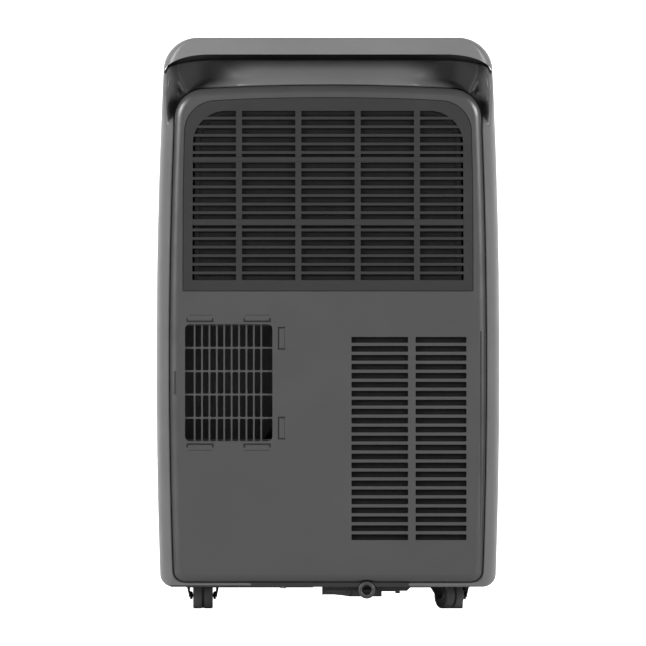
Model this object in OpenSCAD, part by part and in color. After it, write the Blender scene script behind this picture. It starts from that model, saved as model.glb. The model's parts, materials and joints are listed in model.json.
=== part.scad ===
// Portable air conditioner on four swivel casters.
// Front towards -Y, back towards +Y, +Z up. Origin on the floor under the middle of the casing.

/* [Casing] */
// Width of the casing at its widest point
body_w = 460; // [456:1:464]
// Depth from the front panel to the rear panel
body_d = 395; // [392:1:400]
// Height from the floor to the top of the cover
body_h = 765; // [763:1:768]
// Height of the underside above the floor
ground_gap = 29; // [28:0.5:30]
// Wall thickness of the mouldings
wall = 3; // [2.6:0.1:3.2]
// Radius of the bulge of the side walls
barrel_r = 8100; // [7800:100:9000]
// Height of the widest point
belly_z = 330; // [310:10:350]

/* [Rear panel] */
// How far the panel's seam lies inside the outline of the casing
seam_inset = 18; // [17.5:0.25:18.5]
// Radius of the rounded rim
rim_r = 8; // [7:0.5:8.5]
// Height of a slot in either grille
slot_h = 7.6; // [7:0.1:8]
// Rows of slots in the upper grille
upper_rows = 20; // [16:1:20]
// Rows of slots in the lower grille
lower_rows = 23; // [18:1:23]
// Vertical bars of the exhaust grid
grid_bars = 10; // [6:1:10]

/* [Hose outlet] */
// Width of the opening
hose_w = 117; // [112:1:118]
// Height of the opening
hose_h = 155.5; // [150:0.5:156]

/* [Casters] */
// Radius of a wheel
wheel_r = 17.9; // [17:0.1:18]
// Width of one wheel
wheel_w = 9.6; // [8.5:0.1:9.8]
// Distance from the swivel axis to the wheel axle
trail = 10; // [8:0.5:11]
// Turn of the rear right caster at rest
caster_turn = 31; // [-60:1:60]

/* [Drain] */
// Radius of the bore of the drain port
drain_r = 6.15; // [5.8:0.05:6.4]

/* [Controls] */
// Radius of a button
button_r = 7.5; // [6.5:0.25:8]
// Travel of a button
button_travel = 1.2; // [1:0.1:1.4]

/* [Hidden] */
$fn = 64;

back_y = body_d / 2;
front_y = -body_d / 2;
shell_back_y = back_y - 7.5;
front_seam_y = -150;
shell_top_z = body_h - 30;
cover_low_z = body_h - 47;
cover_lip_z = body_h - 22.5;
eps = 0.5;

// Colours
panel_grey = "#565656";
shell_grey = "#6a6a6a";
cover_grey = "#848484";
grille_grey = "#404040";
plastic_dark = "#2d2d2d";

// Half width of the casing at height z
function side_x(z) = body_w / 2 - pow(z - belly_z, 2) / (2 * barrel_r);

// Unit vector
function unit(v) = v / norm(v);

// Arc that rounds corner b of a path a-b-c; each corner is [x, y, radius]
function corner_arc(a, b, c, n) =
    b[2] == 0 ? [[b[0], b[1]]] :
    let (
        p = [b[0], b[1]],
        u = unit([a[0] - b[0], a[1] - b[1]]),
        v = unit([c[0] - b[0], c[1] - b[1]]),
        half = acos(u * v) / 2,
        start = p + u * b[2] / tan(half),
        centre = p + unit(u + v) * b[2] / sin(half),
        turn = u[0] * v[1] - u[1] * v[0] < 0 ? 1 : -1,
        a0 = atan2(start[1] - centre[1], start[0] - centre[0])
    )
    [for (k = [0:n])
        centre + b[2] * [cos(a0 + turn * (180 - 2 * half) * k / n),
            sin(a0 + turn * (180 - 2 * half) * k / n)]];

// Closed outline with rounded corners
function rounded(c, n = 8) =
    [for (i = [0:len(c) - 1]) each corner_arc(c[(i + len(c) - 1) % len(c)], c[i], c[(i + 1) % len(c)], n)];

// Rectangle with one radius on all corners
function rounded_box(x0, y0, x1, y1, r) = rounded([[x1, y0, r], [x1, y1, r], [x0, y1, r], [x0, y0, r]]);

// Long shoulders at the top corners of the casing
shoulder_x = 184;
shoulder_drop = 10.8;
shoulder_r = 90;

// Casing outline in X and Z, moved inwards by inset
function barrel(inset, z0, z1, r0, r1) =
    let (n = max(1, floor((z1 - z0) / 70)),
        side = [for (i = [0:n - 1]) let (z = z0 + (z1 - z0) * i / n)
            [side_x(z) - inset, z, i == 0 ? r0 : 0]],
        shoulder = [[side_x(z1 - shoulder_drop) - inset, z1 - shoulder_drop, r1],
            [shoulder_x, z1, shoulder_r]],
        half = concat(side, shoulder))
    rounded(concat(half, [for (i = [len(half) - 1:-1:0]) [-half[i][0], half[i][1], half[i][2]]]));

// Casing outline in X and Y
function plan(inset, y1) =
    let (x = body_w / 2 - inset, y0 = front_y + inset, rf = 48 - inset, rb = 22 - inset)
    rounded([[x, y0, rf], [x, y1 - inset, rb], [-x, y1 - inset, rb], [-x, y0, rf]]);

module along_y(y0, y1) { translate([0, y1, 0]) rotate([90, 0, 0]) linear_extrude(height = y1 - y0)
    children(); }
module along_x(x0, x1) { translate([x0, 0, 0]) rotate([90, 0, 90]) linear_extrude(height = x1 - x0)
    children(); }
module block(x0, x1, y0, y1, z0, z1) { translate([x0, y0, z0]) cube([x1 - x0, y1 - y0, z1 - z0]); }
module post(x, y, z0, z1, r) { translate([x, y, z0]) cylinder(r = r, h = z1 - z0); }
module rod_y(x, z, y0, y1, r) { translate([x, y1, z]) rotate([90, 0, 0]) cylinder(r = r, h = y1 - y0); }
module rod_x(y, z, x0, x1, r) { translate([x0, y, z]) rotate([0, 90, 0]) cylinder(r = r, h = x1 - x0); }

// Solid piece of the casing between two depths and two heights
module casing_block(inset, y0, y1, z0, z1, r0, r1, back) {
    intersection() {
        along_y(y0, y1) polygon(barrel(inset, z0, z1, r0, r1));
        translate([0, 0, z0 - 1]) linear_extrude(height = z1 - z0 + 2) polygon(plan(inset, back));
    }
}

// ---------------------------------------------------------------- casing

grip_depth_y = shell_back_y - 40;
grip_half_w = 205;

// Room for the fingers under the rear edge of the top cover: a slope that grows steeper upwards
module grip_room(grow) {
    seam_z = shell_top_z - 33;
    depth = shell_back_y - grip_depth_y;
    half_w = grip_half_w + grow;
    intersection() {
        along_x(-half_w, half_w)
            polygon(concat(
                [for (t = [0:0.1:1])
                    [shell_back_y - depth * pow(t, 1.5) - 0.8 * grow,
                        seam_z + (shell_top_z - seam_z) * t - 0.6 * grow]],
                [[grip_depth_y - 0.8 * grow, shell_top_z + 10], [shell_back_y + 20, shell_top_z + 10],
                    [shell_back_y + 20, seam_z - 0.6 * grow]]));
        translate([0, 0, seam_z - 20])
            linear_extrude(height = 70)
                polygon(rounded([
                    [half_w, shell_back_y + 22, 0], [-half_w, shell_back_y + 22, 0],
                    [-half_w, grip_depth_y - 4 - grow, 34], [half_w, grip_depth_y - 4 - grow, 34]]));
    }
}

panel_low_z = ground_gap + 6.5;
panel_top_z = body_h - 64;
arch_r = 3000;

// Height of the arched top edge of the rear panel at x
function arch_z(x, top) = top - x * x / (2 * arch_r);

function panel_outline(grow) =
    let (n = 8, z0 = panel_low_z - grow, z1 = panel_top_z - 6 + grow)
    rounded(concat(
        [for (i = [0:n]) let (z = z0 + (z1 - z0) * i / n)
            [side_x(z) - seam_inset + grow, z, i == 0 ? 16 + grow : i == n ? 40 + grow : 0]],
        [for (x = [120:-40:-120]) [x, arch_z(x, panel_top_z + grow), 0]],
        [for (i = [n:-1:0]) let (z = z0 + (z1 - z0) * i / n)
            [seam_inset - grow - side_x(z), z, i == 0 ? 16 + grow : i == n ? 40 + grow : 0]]
    ));

drain_x = -52;
drain_z = 24.8;

module body_shell() {
    color(shell_grey)
    difference() {
        casing_block(0, front_seam_y, shell_back_y, ground_gap, shell_top_z, 12, 10, shell_back_y);
        difference() {
            casing_block(wall, front_seam_y - 1, shell_back_y, ground_gap - 15, shell_top_z - wall, 1, 8,
                shell_back_y);
            grip_room(wall);
        }
        grip_room(0);
        along_y(shell_back_y - 12, shell_back_y + 5) polygon(panel_outline(0.6));
        // Notch over the drain port
        rod_y(drain_x, drain_z, shell_back_y - 12, shell_back_y + 5, 14);
    }
}

outlet_x = 166;
outlet_low_z = 588;
outlet_top_z = 692;
flap_pivot_y = front_y + 2.1;
flap_pivot_z = outlet_low_z + 5;
flap_pin_r = 1.3;

module front_panel() {
    color(panel_grey)
    difference() {
        union() {
            difference() {
                casing_block(0, front_y, front_seam_y - 0.6, ground_gap, shell_top_z, 12, 10, shell_back_y);
                casing_block(wall, front_y, front_seam_y, ground_gap - 15, shell_top_z - wall, 1, 8,
                    shell_back_y);
                along_y(front_y - 5, front_y + 10)
                    polygon(rounded_box(-outlet_x, outlet_low_z, outlet_x, outlet_top_z, 4));
            }
            // Bosses of the flap's pins
            for (s = [-1, 1])
                block(s > 0 ? outlet_x : -outlet_x - 6, s > 0 ? outlet_x + 6 : -outlet_x, front_y + 0.5,
                    front_y + 7,
                    outlet_low_z, outlet_low_z + 10);
        }
        rod_x(flap_pivot_y, flap_pivot_z, -outlet_x - 4, outlet_x + 4, flap_pin_r + 0.05);
    }
}

control_x = 130;
control_front_y = -165;
control_back_y = -95;

module top_cover() {
    half_low = side_x(cover_low_z);
    half_top = side_x(body_h);
    ring_x = 170;
    ring_front = -182;
    ring_back = 144;
    ring_wall = 2.5;
    cover_bend_x = 184.3;
    color(cover_grey)
    union() {
        difference() {
            intersection() {
                along_y(front_y, back_y)
                    polygon(rounded([
                        [half_low, cover_low_z, 0.3], [half_top, body_h, 45],
                        [-half_top, body_h, 45], [-half_low, cover_low_z, 0.3],
                        [3 - half_low, cover_low_z + 10, 9], [-cover_bend_x, cover_lip_z, 80],
                        [cover_bend_x, cover_lip_z, 80], [half_low - 3, cover_low_z + 10, 9]]));
                translate([0, 0, cover_low_z - 1])
                    linear_extrude(height = 60) polygon(plan(0, back_y));
            }
            intersection() {
                along_y(front_y + wall, back_y - wall)
                    polygon(rounded([
                        [half_top - wall, cover_low_z - 30, 0], [half_top - wall, body_h - wall, 42],
                        [wall - half_top, body_h - wall, 42], [wall - half_top, cover_low_z - 30, 0]]));
                translate([0, 0, cover_low_z - 40])
                    linear_extrude(height = 100) polygon(plan(wall, back_y));
            }
            translate([0, 0, body_h - 10])
                linear_extrude(height = 20)
                    polygon(rounded_box(-control_x, control_front_y, control_x, control_back_y, 8));
        }
        // Inner ring that stands on the deck of the shell
        difference() {
            block(-ring_x, ring_x, ring_front, ring_back, shell_top_z + 0.3, body_h - wall + 0.5);
            block(ring_wall - ring_x, ring_x - ring_wall, ring_front + ring_wall, ring_back - ring_wall,
                shell_top_z - 5, body_h);
        }
    }
}

// ---------------------------------------------------------------- rear panel

door_low_z = 425.5;
door_y = back_y - 0.8;
door_t = 3.2;
door_pivot_y = back_y - 2.4;
door_pivot_z = door_low_z + 2.5;
door_pin_r = 1.5;

function door_outline(grow) =
    rounded(concat(
        [[194.5 + grow, door_low_z - grow, 1.5], [194.2 + grow, 560, 0],
            [191.5 + grow, 678.6 + grow, 42 + grow]],
        [for (x = [120:-40:-120]) [x, arch_z(x, 684.7 + grow), 0]],
        [[-191.5 - grow, 678.6 + grow, 42 + grow], [-194.2 - grow, 560, 0],
            [-194.5 - grow, door_low_z - grow, 1.5]]
    ));

// Area of the door that the slots fill
function slot_area(grow) =
    rounded([
        [181.8 + grow, 440.3 - grow, 1], [181 + grow, 667 + grow, 45],
        [-181 - grow, 667 + grow, 45], [-181.8 - grow, 440.3 - grow, 1]]);

hose_x = 133;
hose_z = 302.9;
clip_w = 36;
clip_t = 4.8;

lower_x = [[-107.3, -31.5], [-185.5, -117.4]];
lower_first_z = 356.2;
lower_pitch = 12.02;

filter_slit_x = -203.6;
filter_low_z = 86;
filter_top_z = 372;
filter_y = back_y - 6.4;
filter_t = 2.2;

// Slots that the hooks of a hose adapter clip into
module clip_slots() {
    y0 = back_y - 20;
    y1 = back_y + 5;
    for (x = [hose_x + 38.5, hose_x - 38]) {
        block(x - clip_w / 2, x + clip_w / 2, y0, y1, hose_z + hose_h / 2 + 3.2,
            hose_z + hose_h / 2 + 3.2 + clip_t);
        block(x - clip_w / 2, x + clip_w / 2, y0, y1, hose_z - hose_h / 2 - 3.4 - clip_t,
            hose_z - hose_h / 2 - 3.4);
    }
    for (z = [hose_z - 60.8, hose_z + 59.5])
        block(hose_x - 75.4, hose_x - 66, y0, y1, z - 15, z + 15);
    block(203.2, 206.4, y0, y1, 287, 318);
}

lug_h = 24;

module rear_panel() {
    color(panel_grey)
    difference() {
        union() {
            difference() {
                panel_blank(0);
                panel_blank(wall);
            }
            // Ledge behind the grille door
            difference() {
                along_y(back_y - 8, back_y - 4.2) polygon(door_outline(4));
                along_y(back_y - 9, back_y + 1)
                    polygon(rounded([[185.5, 424.5, 0], [185.5, 676, 46], [-185.5, 676, 46],
                        [-185.5, 424.5, 0]]));
            }
            // Bosses of the grille door's pins
            for (s = [-1, 1])
                block(s > 0 ? 195.6 : -204, s > 0 ? 204 : -195.6, back_y - 7, back_y - 1, 422, 434);
            // Lugs that hold the panel behind the shell
            for (s = [-1, 1]) for (z = [130, 300, 520]) mirror([s > 0 ? 0 : 1, 0, 0]) {
                block(204, 209, back_y - 15.5, back_y - 11, z, z + lug_h);
                block(204, 212.5, back_y - 15.5, back_y - 12.5, z, z + lug_h);
            }
        }
        along_y(back_y - 4.2, back_y + 5) polygon(door_outline(0.7));
        // Room for the lower edge of the door as it turns
        for (s = [-1, 1])
            rod_x(door_pivot_y, door_pivot_z, s > 0 ? 184 : -195.4, s > 0 ? 195.4 : -184, 3.4);
        for (s = [-1, 1])
            rod_x(door_pivot_y, door_pivot_z, s > 0 ? 190 : -201, s > 0 ? 201 : -190, door_pin_r + 0.05);
        // Hose outlet
        along_y(back_y - 20, back_y + 5)
            polygon(rounded_box(hose_x - hose_w / 2, hose_z - hose_h / 2, hose_x + hose_w / 2,
                hose_z + hose_h / 2, 6));
        clip_slots();
        // Lower grille
        for (row = [0:lower_rows - 1]) for (col = lower_x)
            block(col[0], col[1], back_y - 6, back_y + 5,
                lower_first_z - row * lower_pitch, lower_first_z - row * lower_pitch + slot_h);
        // Way out of the lower filter
        block(filter_slit_x - 2.4, filter_slit_x, back_y - 30, back_y + 5, filter_low_z, filter_top_z);
        block(-240, filter_slit_x - 1, filter_y - 0.5, back_y + 5, filter_low_z, filter_top_z);
        rod_y(drain_x, drain_z, back_y - 30, back_y + 5, 14);
    }
}

// Rear panel as a solid tray with a rounded rim, made smaller by inset
module panel_blank(inset) {
    x = body_w / 2 - seam_inset - inset;
    y0 = shell_back_y - 4 - inset * 3;
    y1 = back_y - inset;
    z0 = panel_low_z + inset;
    z1 = panel_top_z - inset;
    intersection() {
        along_y(y0, y1) polygon(panel_outline(-inset));
        translate([0, 0, z0 - 1])
            linear_extrude(height = z1 - z0 + 2)
                polygon(rounded([[x, y0, 0], [x, y1, rim_r], [-x, y1, rim_r], [-x, y0, 0]]));
        along_x(-x - 1, x + 1)
            polygon(rounded([[y1, z0, rim_r], [y1, z1, rim_r], [y0, z1, 0], [y0, z0, 0]]));
    }
}

upper_pitch = 11.52;
upper_first_z = 659.1;
bar_x = 79.5;
bar_half = 185;
cross_bars = [[599, 605], [513.4, 521.8]];

function bar_top(row) = upper_first_z - (row - 1) * upper_pitch;

module upper_grille() {
    y0 = door_y - door_t;
    color(grille_grey)
    union() {
        along_y(y0, door_y) difference() { polygon(door_outline(0)); polygon(slot_area(0)); }
        intersection() {
            along_y(y0 - 1, door_y + 3) polygon(slot_area(0.2));
            union() {
                // Bars between the rows of slots
                for (row = [1:upper_rows - 1])
                    block(-bar_half, bar_half, y0, door_y, bar_top(row) - (upper_pitch - slot_h), bar_top(row));
                for (x = [-1.5:1:1.5])
                    block(x * bar_x - 4, x * bar_x + 4, y0, door_y, 438, 670);
                // Proud cross bars
                for (z = cross_bars)
                    block(-bar_half, bar_half, y0, back_y, z[0], z[1]);
            }
        }
        // Pins that the door turns on
        for (s = [-1, 1])
            rod_x(door_pivot_y, door_pivot_z, s > 0 ? 185 : -199.5, s > 0 ? 199.5 : -185, door_pin_r);
    }
}

module upper_filter() {
    y1 = door_y - door_t;
    color(plastic_dark)
    union() {
        difference() {
            along_y(y1 - 3, y1)
                polygon(rounded([[179, 439, 2], [178, 668, 42], [-178, 668, 42], [-179, 439, 2]]));
            along_y(y1 - 5, y1 + 1)
                polygon(rounded([[173, 445, 2], [172, 662, 38], [-172, 662, 38], [-173, 445, 2]]));
        }
        along_y(y1 - 2.2, y1 - 1.4)
            polygon(rounded([[174, 444, 2], [173, 663, 38], [-173, 663, 38], [-174, 444, 2]]));
        // Ribs of the frame, one ring and two uprights
        for (x = [-60, 60]) block(x - 1.5, x + 1.5, y1 - 3, y1 - 1.5, 442, 665);
    }
}

module lower_filter() {
    x0 = filter_slit_x + 0.6;
    x1 = -24;
    y0 = filter_y;
    y1 = filter_y + filter_t;
    z0 = filter_low_z + 1;
    z1 = filter_top_z - 1;
    edge = 5;
    color(plastic_dark)
    union() {
        difference() {
            block(x0, x1, y0, y1, z0, z1);
            block(x0 + edge, x1 - edge, y0 - 1, y1 + 1, z0 + edge, z1 - edge);
        }
        block(x0 + edge - 1, x1 - edge + 1, y0 + 0.6, y0 + 1.4, z0 + edge - 1, z1 - edge + 1);
    }
}

module exhaust_grid() {
    w = hose_w / 2;
    h = hose_h / 2;
    y0 = back_y - 8.5;
    y1 = back_y - 3.2;
    bar_pitch = 9.85;
    row_pitch = 31.2;
    color(panel_grey)
    union() {
        difference() {
            along_y(y0, y1) polygon(rounded_box(hose_x - w - 2.5, hose_z - h - 2.5, hose_x + w + 2.5,
                hose_z + h + 2.5, 6));
            along_y(y0 - 1, y1 + 1) polygon(rounded_box(hose_x - w, hose_z - h, hose_x + w, hose_z + h, 5));
        }
        for (i = [0:grid_bars - 1])
            block(hose_x + 1.6 + (i - (grid_bars - 1) / 2) * bar_pitch - 1.8,
                hose_x + 1.6 + (i - (grid_bars - 1) / 2) * bar_pitch + 1.8, y0, y1 - 0.5,
                    hose_z - h - 1, hose_z + h + 1);
        for (i = [-1.5:1:1.5])
            block(hose_x - w - 1, hose_x + w + 1, y0 + 1, y1 - 1.5, hose_z + i * row_pitch - 2,
                hose_z + i * row_pitch + 2);
    }
}

// ---------------------------------------------------------------- controls

fascia_t = 2.5;
fascia_top_z = body_h - 0.6;
button_y = -142;
button_xs = [-105, -63, -21, 21, 63, 105];
lens_y = -114;

module control_fascia() {
    color("#161616")
    difference() {
        union() {
            translate([0, 0, fascia_top_z - fascia_t])
                linear_extrude(height = fascia_t)
                    polygon(rounded_box(0.4 - control_x, control_front_y + 0.4, control_x - 0.4,
                        control_back_y - 0.4, 7.6));
            // Flange under the cover
            translate([0, 0, body_h - wall - 2])
                linear_extrude(height = 1.8)
                    polygon(rounded_box(-control_x - 4, control_front_y - 4, control_x + 4,
                        control_back_y + 4, 8));
        }
        for (x = button_xs) post(x, button_y, body_h - 12, body_h + 2, button_r + 0.4);
        translate([0, 0, fascia_top_z - 1.6])
            linear_extrude(height = 5) polygon(rounded_box(-36, lens_y - 13, 36, lens_y + 13, 4));
        block(-30, 30, lens_y - 9, lens_y + 9, body_h - 12, body_h);
    }
}

module display_lens() {
    color("#20282c")
    translate([0, 0, fascia_top_z - 1.5])
        linear_extrude(height = 1.5) polygon(rounded_box(-35.7, lens_y - 12.7, 35.7, lens_y + 12.7, 3.7));
}

// Button k of the row, with a stop flange below the fascia
module button(k) {
    x = button_xs[k];
    color("#3a3a3a")
    union() {
        post(x, button_y, body_h - 9, body_h, button_r);
        post(x, button_y, body_h - 9, body_h - wall - 2.6, button_r + 2);
    }
}

board_z = body_h - 15;

module control_board() {
    color("#1f4a2e")
    union() {
        difference() {
            block(-122, 122, -160, -98, board_z - 1.6, board_z);
            for (x = [-116, 116]) for (y = [-154, -104]) post(x, y, board_z - 5, board_z + 5, 1.8);
        }
        // Tact switches below the buttons
        for (x = button_xs) post(x, button_y, board_z - eps, board_z + 6 - 1.6 - button_travel, 2.2);
        // Display module
        block(-26, 26, lens_y - 8, lens_y + 8, board_z - eps, board_z + 6);
        block(70, 90, -112, -102, board_z - eps, board_z + 5);
    }
}

// ---------------------------------------------------------------- air outlet

duct_x = 163;
duct_low_z = 590;
duct_top_z = 690;
duct_wall = 2.5;
duct_back_y = -110;
vane_pitch = 58;
vane_pivot_y = -158;
vane_pin_r = 2;
link_arm = 14;
link_low_z = 676.5;
link_t = 2.5;
vane_swing = 35;

module outlet_frame() {
    color(plastic_dark)
    difference() {
        block(-duct_x, duct_x, front_y + 7, duct_back_y, duct_low_z, duct_top_z);
        block(duct_wall - duct_x, duct_x - duct_wall, front_y - 1, duct_back_y + 1,
            duct_low_z + duct_wall, duct_top_z - duct_wall);
        // Bearings of the vanes
        for (i = [-2:2])
            post(i * vane_pitch, vane_pivot_y, duct_low_z - 1, duct_top_z + 1, vane_pin_r + 0.06);
    }
}

module outlet_flap() {
    x = outlet_x - 1.5;
    y0 = front_y + 0.4;
    y1 = y0 + 3;
    low = outlet_low_z + 2;
    high = outlet_top_z - 1.5;
    color(panel_grey)
    union() {
        along_x(-x, x) polygon(rounded([[y0, low, 1], [y1, low, 1], [y1, high, 1], [y0, high, 1]], 3));
        // Stiffening rib on the inner face
        block(-x + 8, x - 8, y1 - eps, y1 + 2, high - 12, high - 10);
        for (s = [-1, 1])
            rod_x(flap_pivot_y, flap_pivot_z, s > 0 ? x - 4 : -outlet_x - 3.5,
                s > 0 ? outlet_x + 3.5 : 4 - x,
                flap_pin_r);
    }
}

module flap_motor() {
    y = -172;
    z = 606;
    color("#8c9090")
    union() {
        rod_x(y, z, duct_x + 2, duct_x + 18, 12);
        block(duct_x + 0.3, duct_x + 2.2, y - 16, y + 16, z - 15, z + 15);
    }
}

// Upright vane i, counted from the middle
module vane(i) {
    x = i * vane_pitch;
    y = vane_pivot_y;
    low = duct_low_z + duct_wall + 1;
    high = duct_top_z - duct_wall - 1;
    color(plastic_dark)
    union() {
        difference() {
            block(x - 1, x + 1, y - 17, y + 20, low, high);
            block(x - 2, x + 2, y + 5, y + 22, link_low_z - 2, high + 1);
        }
        post(x, y, duct_low_z + 0.3, duct_top_z - 0.3, vane_pin_r);
        post(x, y + link_arm, link_low_z - 4, link_low_z + link_t + 2, 1.4);
    }
}

module vane_link() {
    reach = 2 * vane_pitch + 8;
    drop = link_arm * (1 - cos(vane_swing));
    y = vane_pivot_y + link_arm;
    color("#505050")
    difference() {
        block(-reach, reach, y - drop - 4.5, y + 4.5, link_low_z, link_low_z + link_t);
        for (i = [-2:2])
            block(i * vane_pitch - 2.1, i * vane_pitch + 2.1, y - drop - 2, y + 2, link_low_z - 1,
                link_low_z + link_t + 1);
    }
}

// ---------------------------------------------------------------- upper air path

upper_fan_x = -10;
upper_fan_z = 552;
upper_fan_r = 80;
upper_fan_y0 = -50;
upper_fan_y1 = 30;

// Drum of forward blades on a back plate, on the axis of Y
module blower_wheel(x, z, r, y0, y1, blades, shaft_r) {
    translate([x, 0, z])
    difference() {
        union() {
            rod_y(0, 0, y0, y0 + 2.5, r);
            rod_y(0, 0, y0, y0 + 22, 12);
            difference() {
                rod_y(0, 0, y1 - 4, y1, r);
                rod_y(0, 0, y1 - 6, y1 + 2, r - 12);
            }
            for (i = [0:blades - 1])
                rotate([0, i * 360 / blades, 0])
                    translate([r - 11.3, y0 + 1, 0]) rotate([0, 25, 0]) cube([10.4, y1 - y0 - 3, 1.4]);
        }
        rod_y(0, 0, y0 - 5, y0 + 30, shaft_r + 0.05);
    }
}

module upper_blower_wheel() {
    color("#2a2a2a") blower_wheel(upper_fan_x, upper_fan_z, upper_fan_r, upper_fan_y0, upper_fan_y1, 24, 4);
}

module upper_scroll_shape(g) {
    y0 = upper_fan_y0 - 8 - g;
    y1 = upper_fan_y1 + 8 + g;
    rod_y(upper_fan_x, upper_fan_z, y0, y1, upper_fan_r + 14 + g);
    block(upper_fan_x - g, upper_fan_x + upper_fan_r + 14 + g, y0, y1, upper_fan_z, 684 + g);
}

module upper_scroll() {
    g = 2.5;
    color("#9a9a94")
    difference() {
        union() {
            upper_scroll_shape(g);
            block(-155, 155, -108, upper_fan_y0 - 8, 608, 688);
        }
        upper_scroll_shape(0);
        block(g - 155, 155 - g, -109, upper_fan_y0 - 8 - g, 608 + g, 688 - g);
        block(upper_fan_x + 8, upper_fan_x + 88, -80, upper_fan_y0, 612, 684);
        // Inlet and shaft hole
        rod_y(upper_fan_x, upper_fan_z, upper_fan_y1, upper_fan_y1 + 20, upper_fan_r - 14);
        rod_y(upper_fan_x, upper_fan_z, upper_fan_y0 - 20, upper_fan_y0, 10);
    }
}

module upper_fan_motor() {
    color("#787c80")
    union() {
        rod_y(upper_fan_x, upper_fan_z, upper_fan_y0 - 56, upper_fan_y0 - 11, 42);
        rod_y(upper_fan_x, upper_fan_z, upper_fan_y0 - 12, upper_fan_y0 + 26, 4);
        for (a = [45:90:315])
            translate([upper_fan_x, 0, upper_fan_z])
                rotate([0, a, 0]) block(38, 54, upper_fan_y0 - 16, upper_fan_y0 - 11, -5, 5);
    }
}

// Finned block with end plates
module coil(x0, x1, y0, y1, z0, z1) {
    fin_gap = 12;
    union() {
        block(x0 + 5, x1 - 5, y0 + 2, y1 - 2, z0 + 2, z1 - 2);
        block(x0, x0 + 1.5, y0, y1, z0, z1);
        block(x1 - 1.5, x1, y0, y1, z0, z1);
        // Tube runs that join the plates to the fins
        for (z = [z0 + 14:24:z1 - 12]) for (y = [y0 + 10, y1 - 10]) rod_x(y, z, x0 - 3, x1 + 3, 3.5);
        for (x = [x0 + 10:fin_gap:x1 - 10]) block(x - 0.5, x + 0.5, y0, y1, z0, z1);
    }
}

module evaporator_coil() { color("#a8a49c") coil(-180, 180, 136, 168, 436, 684); }

tray_z = 402;

module drain_tray() {
    color("#c8c8c4")
    difference() {
        block(-208, 208, -140, 180, tray_z, tray_z + 24);
        block(-205, 205, -137, 177, tray_z + 3, tray_z + 30);
        post(150, 60, tray_z - 1, tray_z + 5, 5);
        block(-150, -60, -110, -40, tray_z - 1, tray_z + 5);
    }
}

// ---------------------------------------------------------------- lower air path

lower_fan_x = 20;
lower_fan_z = 200;
lower_fan_r = 82;
lower_fan_y0 = 30;
lower_fan_y1 = 100;

module lower_blower_wheel() {
    color("#2a2a2a") blower_wheel(lower_fan_x, lower_fan_z, lower_fan_r, lower_fan_y0, lower_fan_y1, 24, 4);
}

module lower_scroll_shape(g) {
    y0 = lower_fan_y0 - 8 - g;
    y1 = lower_fan_y1 + 8 + g;
    rod_y(lower_fan_x, lower_fan_z, y0, y1, lower_fan_r + 14 + g);
    block(lower_fan_x, hose_x + hose_w / 2 + g, y0, y1, hose_z - 62 - g, hose_z - 6 + g);
    block(hose_x - hose_w / 2 - g, hose_x + hose_w / 2 + g, y0, y1 + 12, hose_z - 76 - g, hose_z + 76 + g);
}

module lower_scroll() {
    g = 2.5;
    color("#9a9a94")
    difference() {
        union() {
            lower_scroll_shape(g);
            block(hose_x - hose_w / 2 - g, hose_x + hose_w / 2 + g, lower_fan_y1, back_y - 9,
                hose_z - 76 - g, hose_z + 76 + g);
        }
        lower_scroll_shape(0);
        block(hose_x - hose_w / 2, hose_x + hose_w / 2, lower_fan_y1, back_y, hose_z - 76, hose_z + 76);
        rod_y(lower_fan_x, lower_fan_z, lower_fan_y1, lower_fan_y1 + 30, lower_fan_r - 14);
        rod_y(lower_fan_x, lower_fan_z, lower_fan_y0 - 30, lower_fan_y0, 10);
    }
}

module lower_fan_motor() {
    color("#787c80")
    union() {
        rod_y(lower_fan_x, lower_fan_z, lower_fan_y0 - 56, lower_fan_y0 - 11, 40);
        rod_y(lower_fan_x, lower_fan_z, lower_fan_y0 - 12, lower_fan_y0 + 26, 4);
        for (a = [45:90:315])
            translate([lower_fan_x, 0, lower_fan_z])
                rotate([0, a, 0]) block(36, 52, lower_fan_y0 - 16, lower_fan_y0 - 11, -5, 5);
    }
}

module condenser_coil() { color("#a8a49c") coil(-198, -22, 146, 180, 112, 378); }

splash_x = -110;
splash_z = 92;

module splash_wheel() {
    color("#d8d8d4")
    difference() {
        union() {
            rod_y(splash_x, splash_z, 126, 129, 28);
            rod_y(splash_x, splash_z, 124, 134, 6);
            for (a = [0:30:330])
                translate([splash_x, 0, splash_z]) rotate([0, a, 0]) block(18, 34, 126, 133, -1, 1);
        }
        rod_y(splash_x, splash_z, 120, 140, 2.05);
    }
}

module splash_motor() {
    color("#787c80")
    union() {
        rod_y(splash_x, splash_z, 88, 120, 19);
        rod_y(splash_x, splash_z, 119, 133, 2);
        block(splash_x - 8, splash_x + 8, 92, 116, 36, splash_z - 12);
        block(splash_x - 22, splash_x + 22, 88, 118, ground_gap + 3.2, 38);
    }
}

// ---------------------------------------------------------------- refrigeration and power

comp_x = -95;
comp_y = -72;
comp_r = 58;
foot_ring = 74;
foot_angles = [30:120:270];
accu_x = comp_x + 84;

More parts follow.
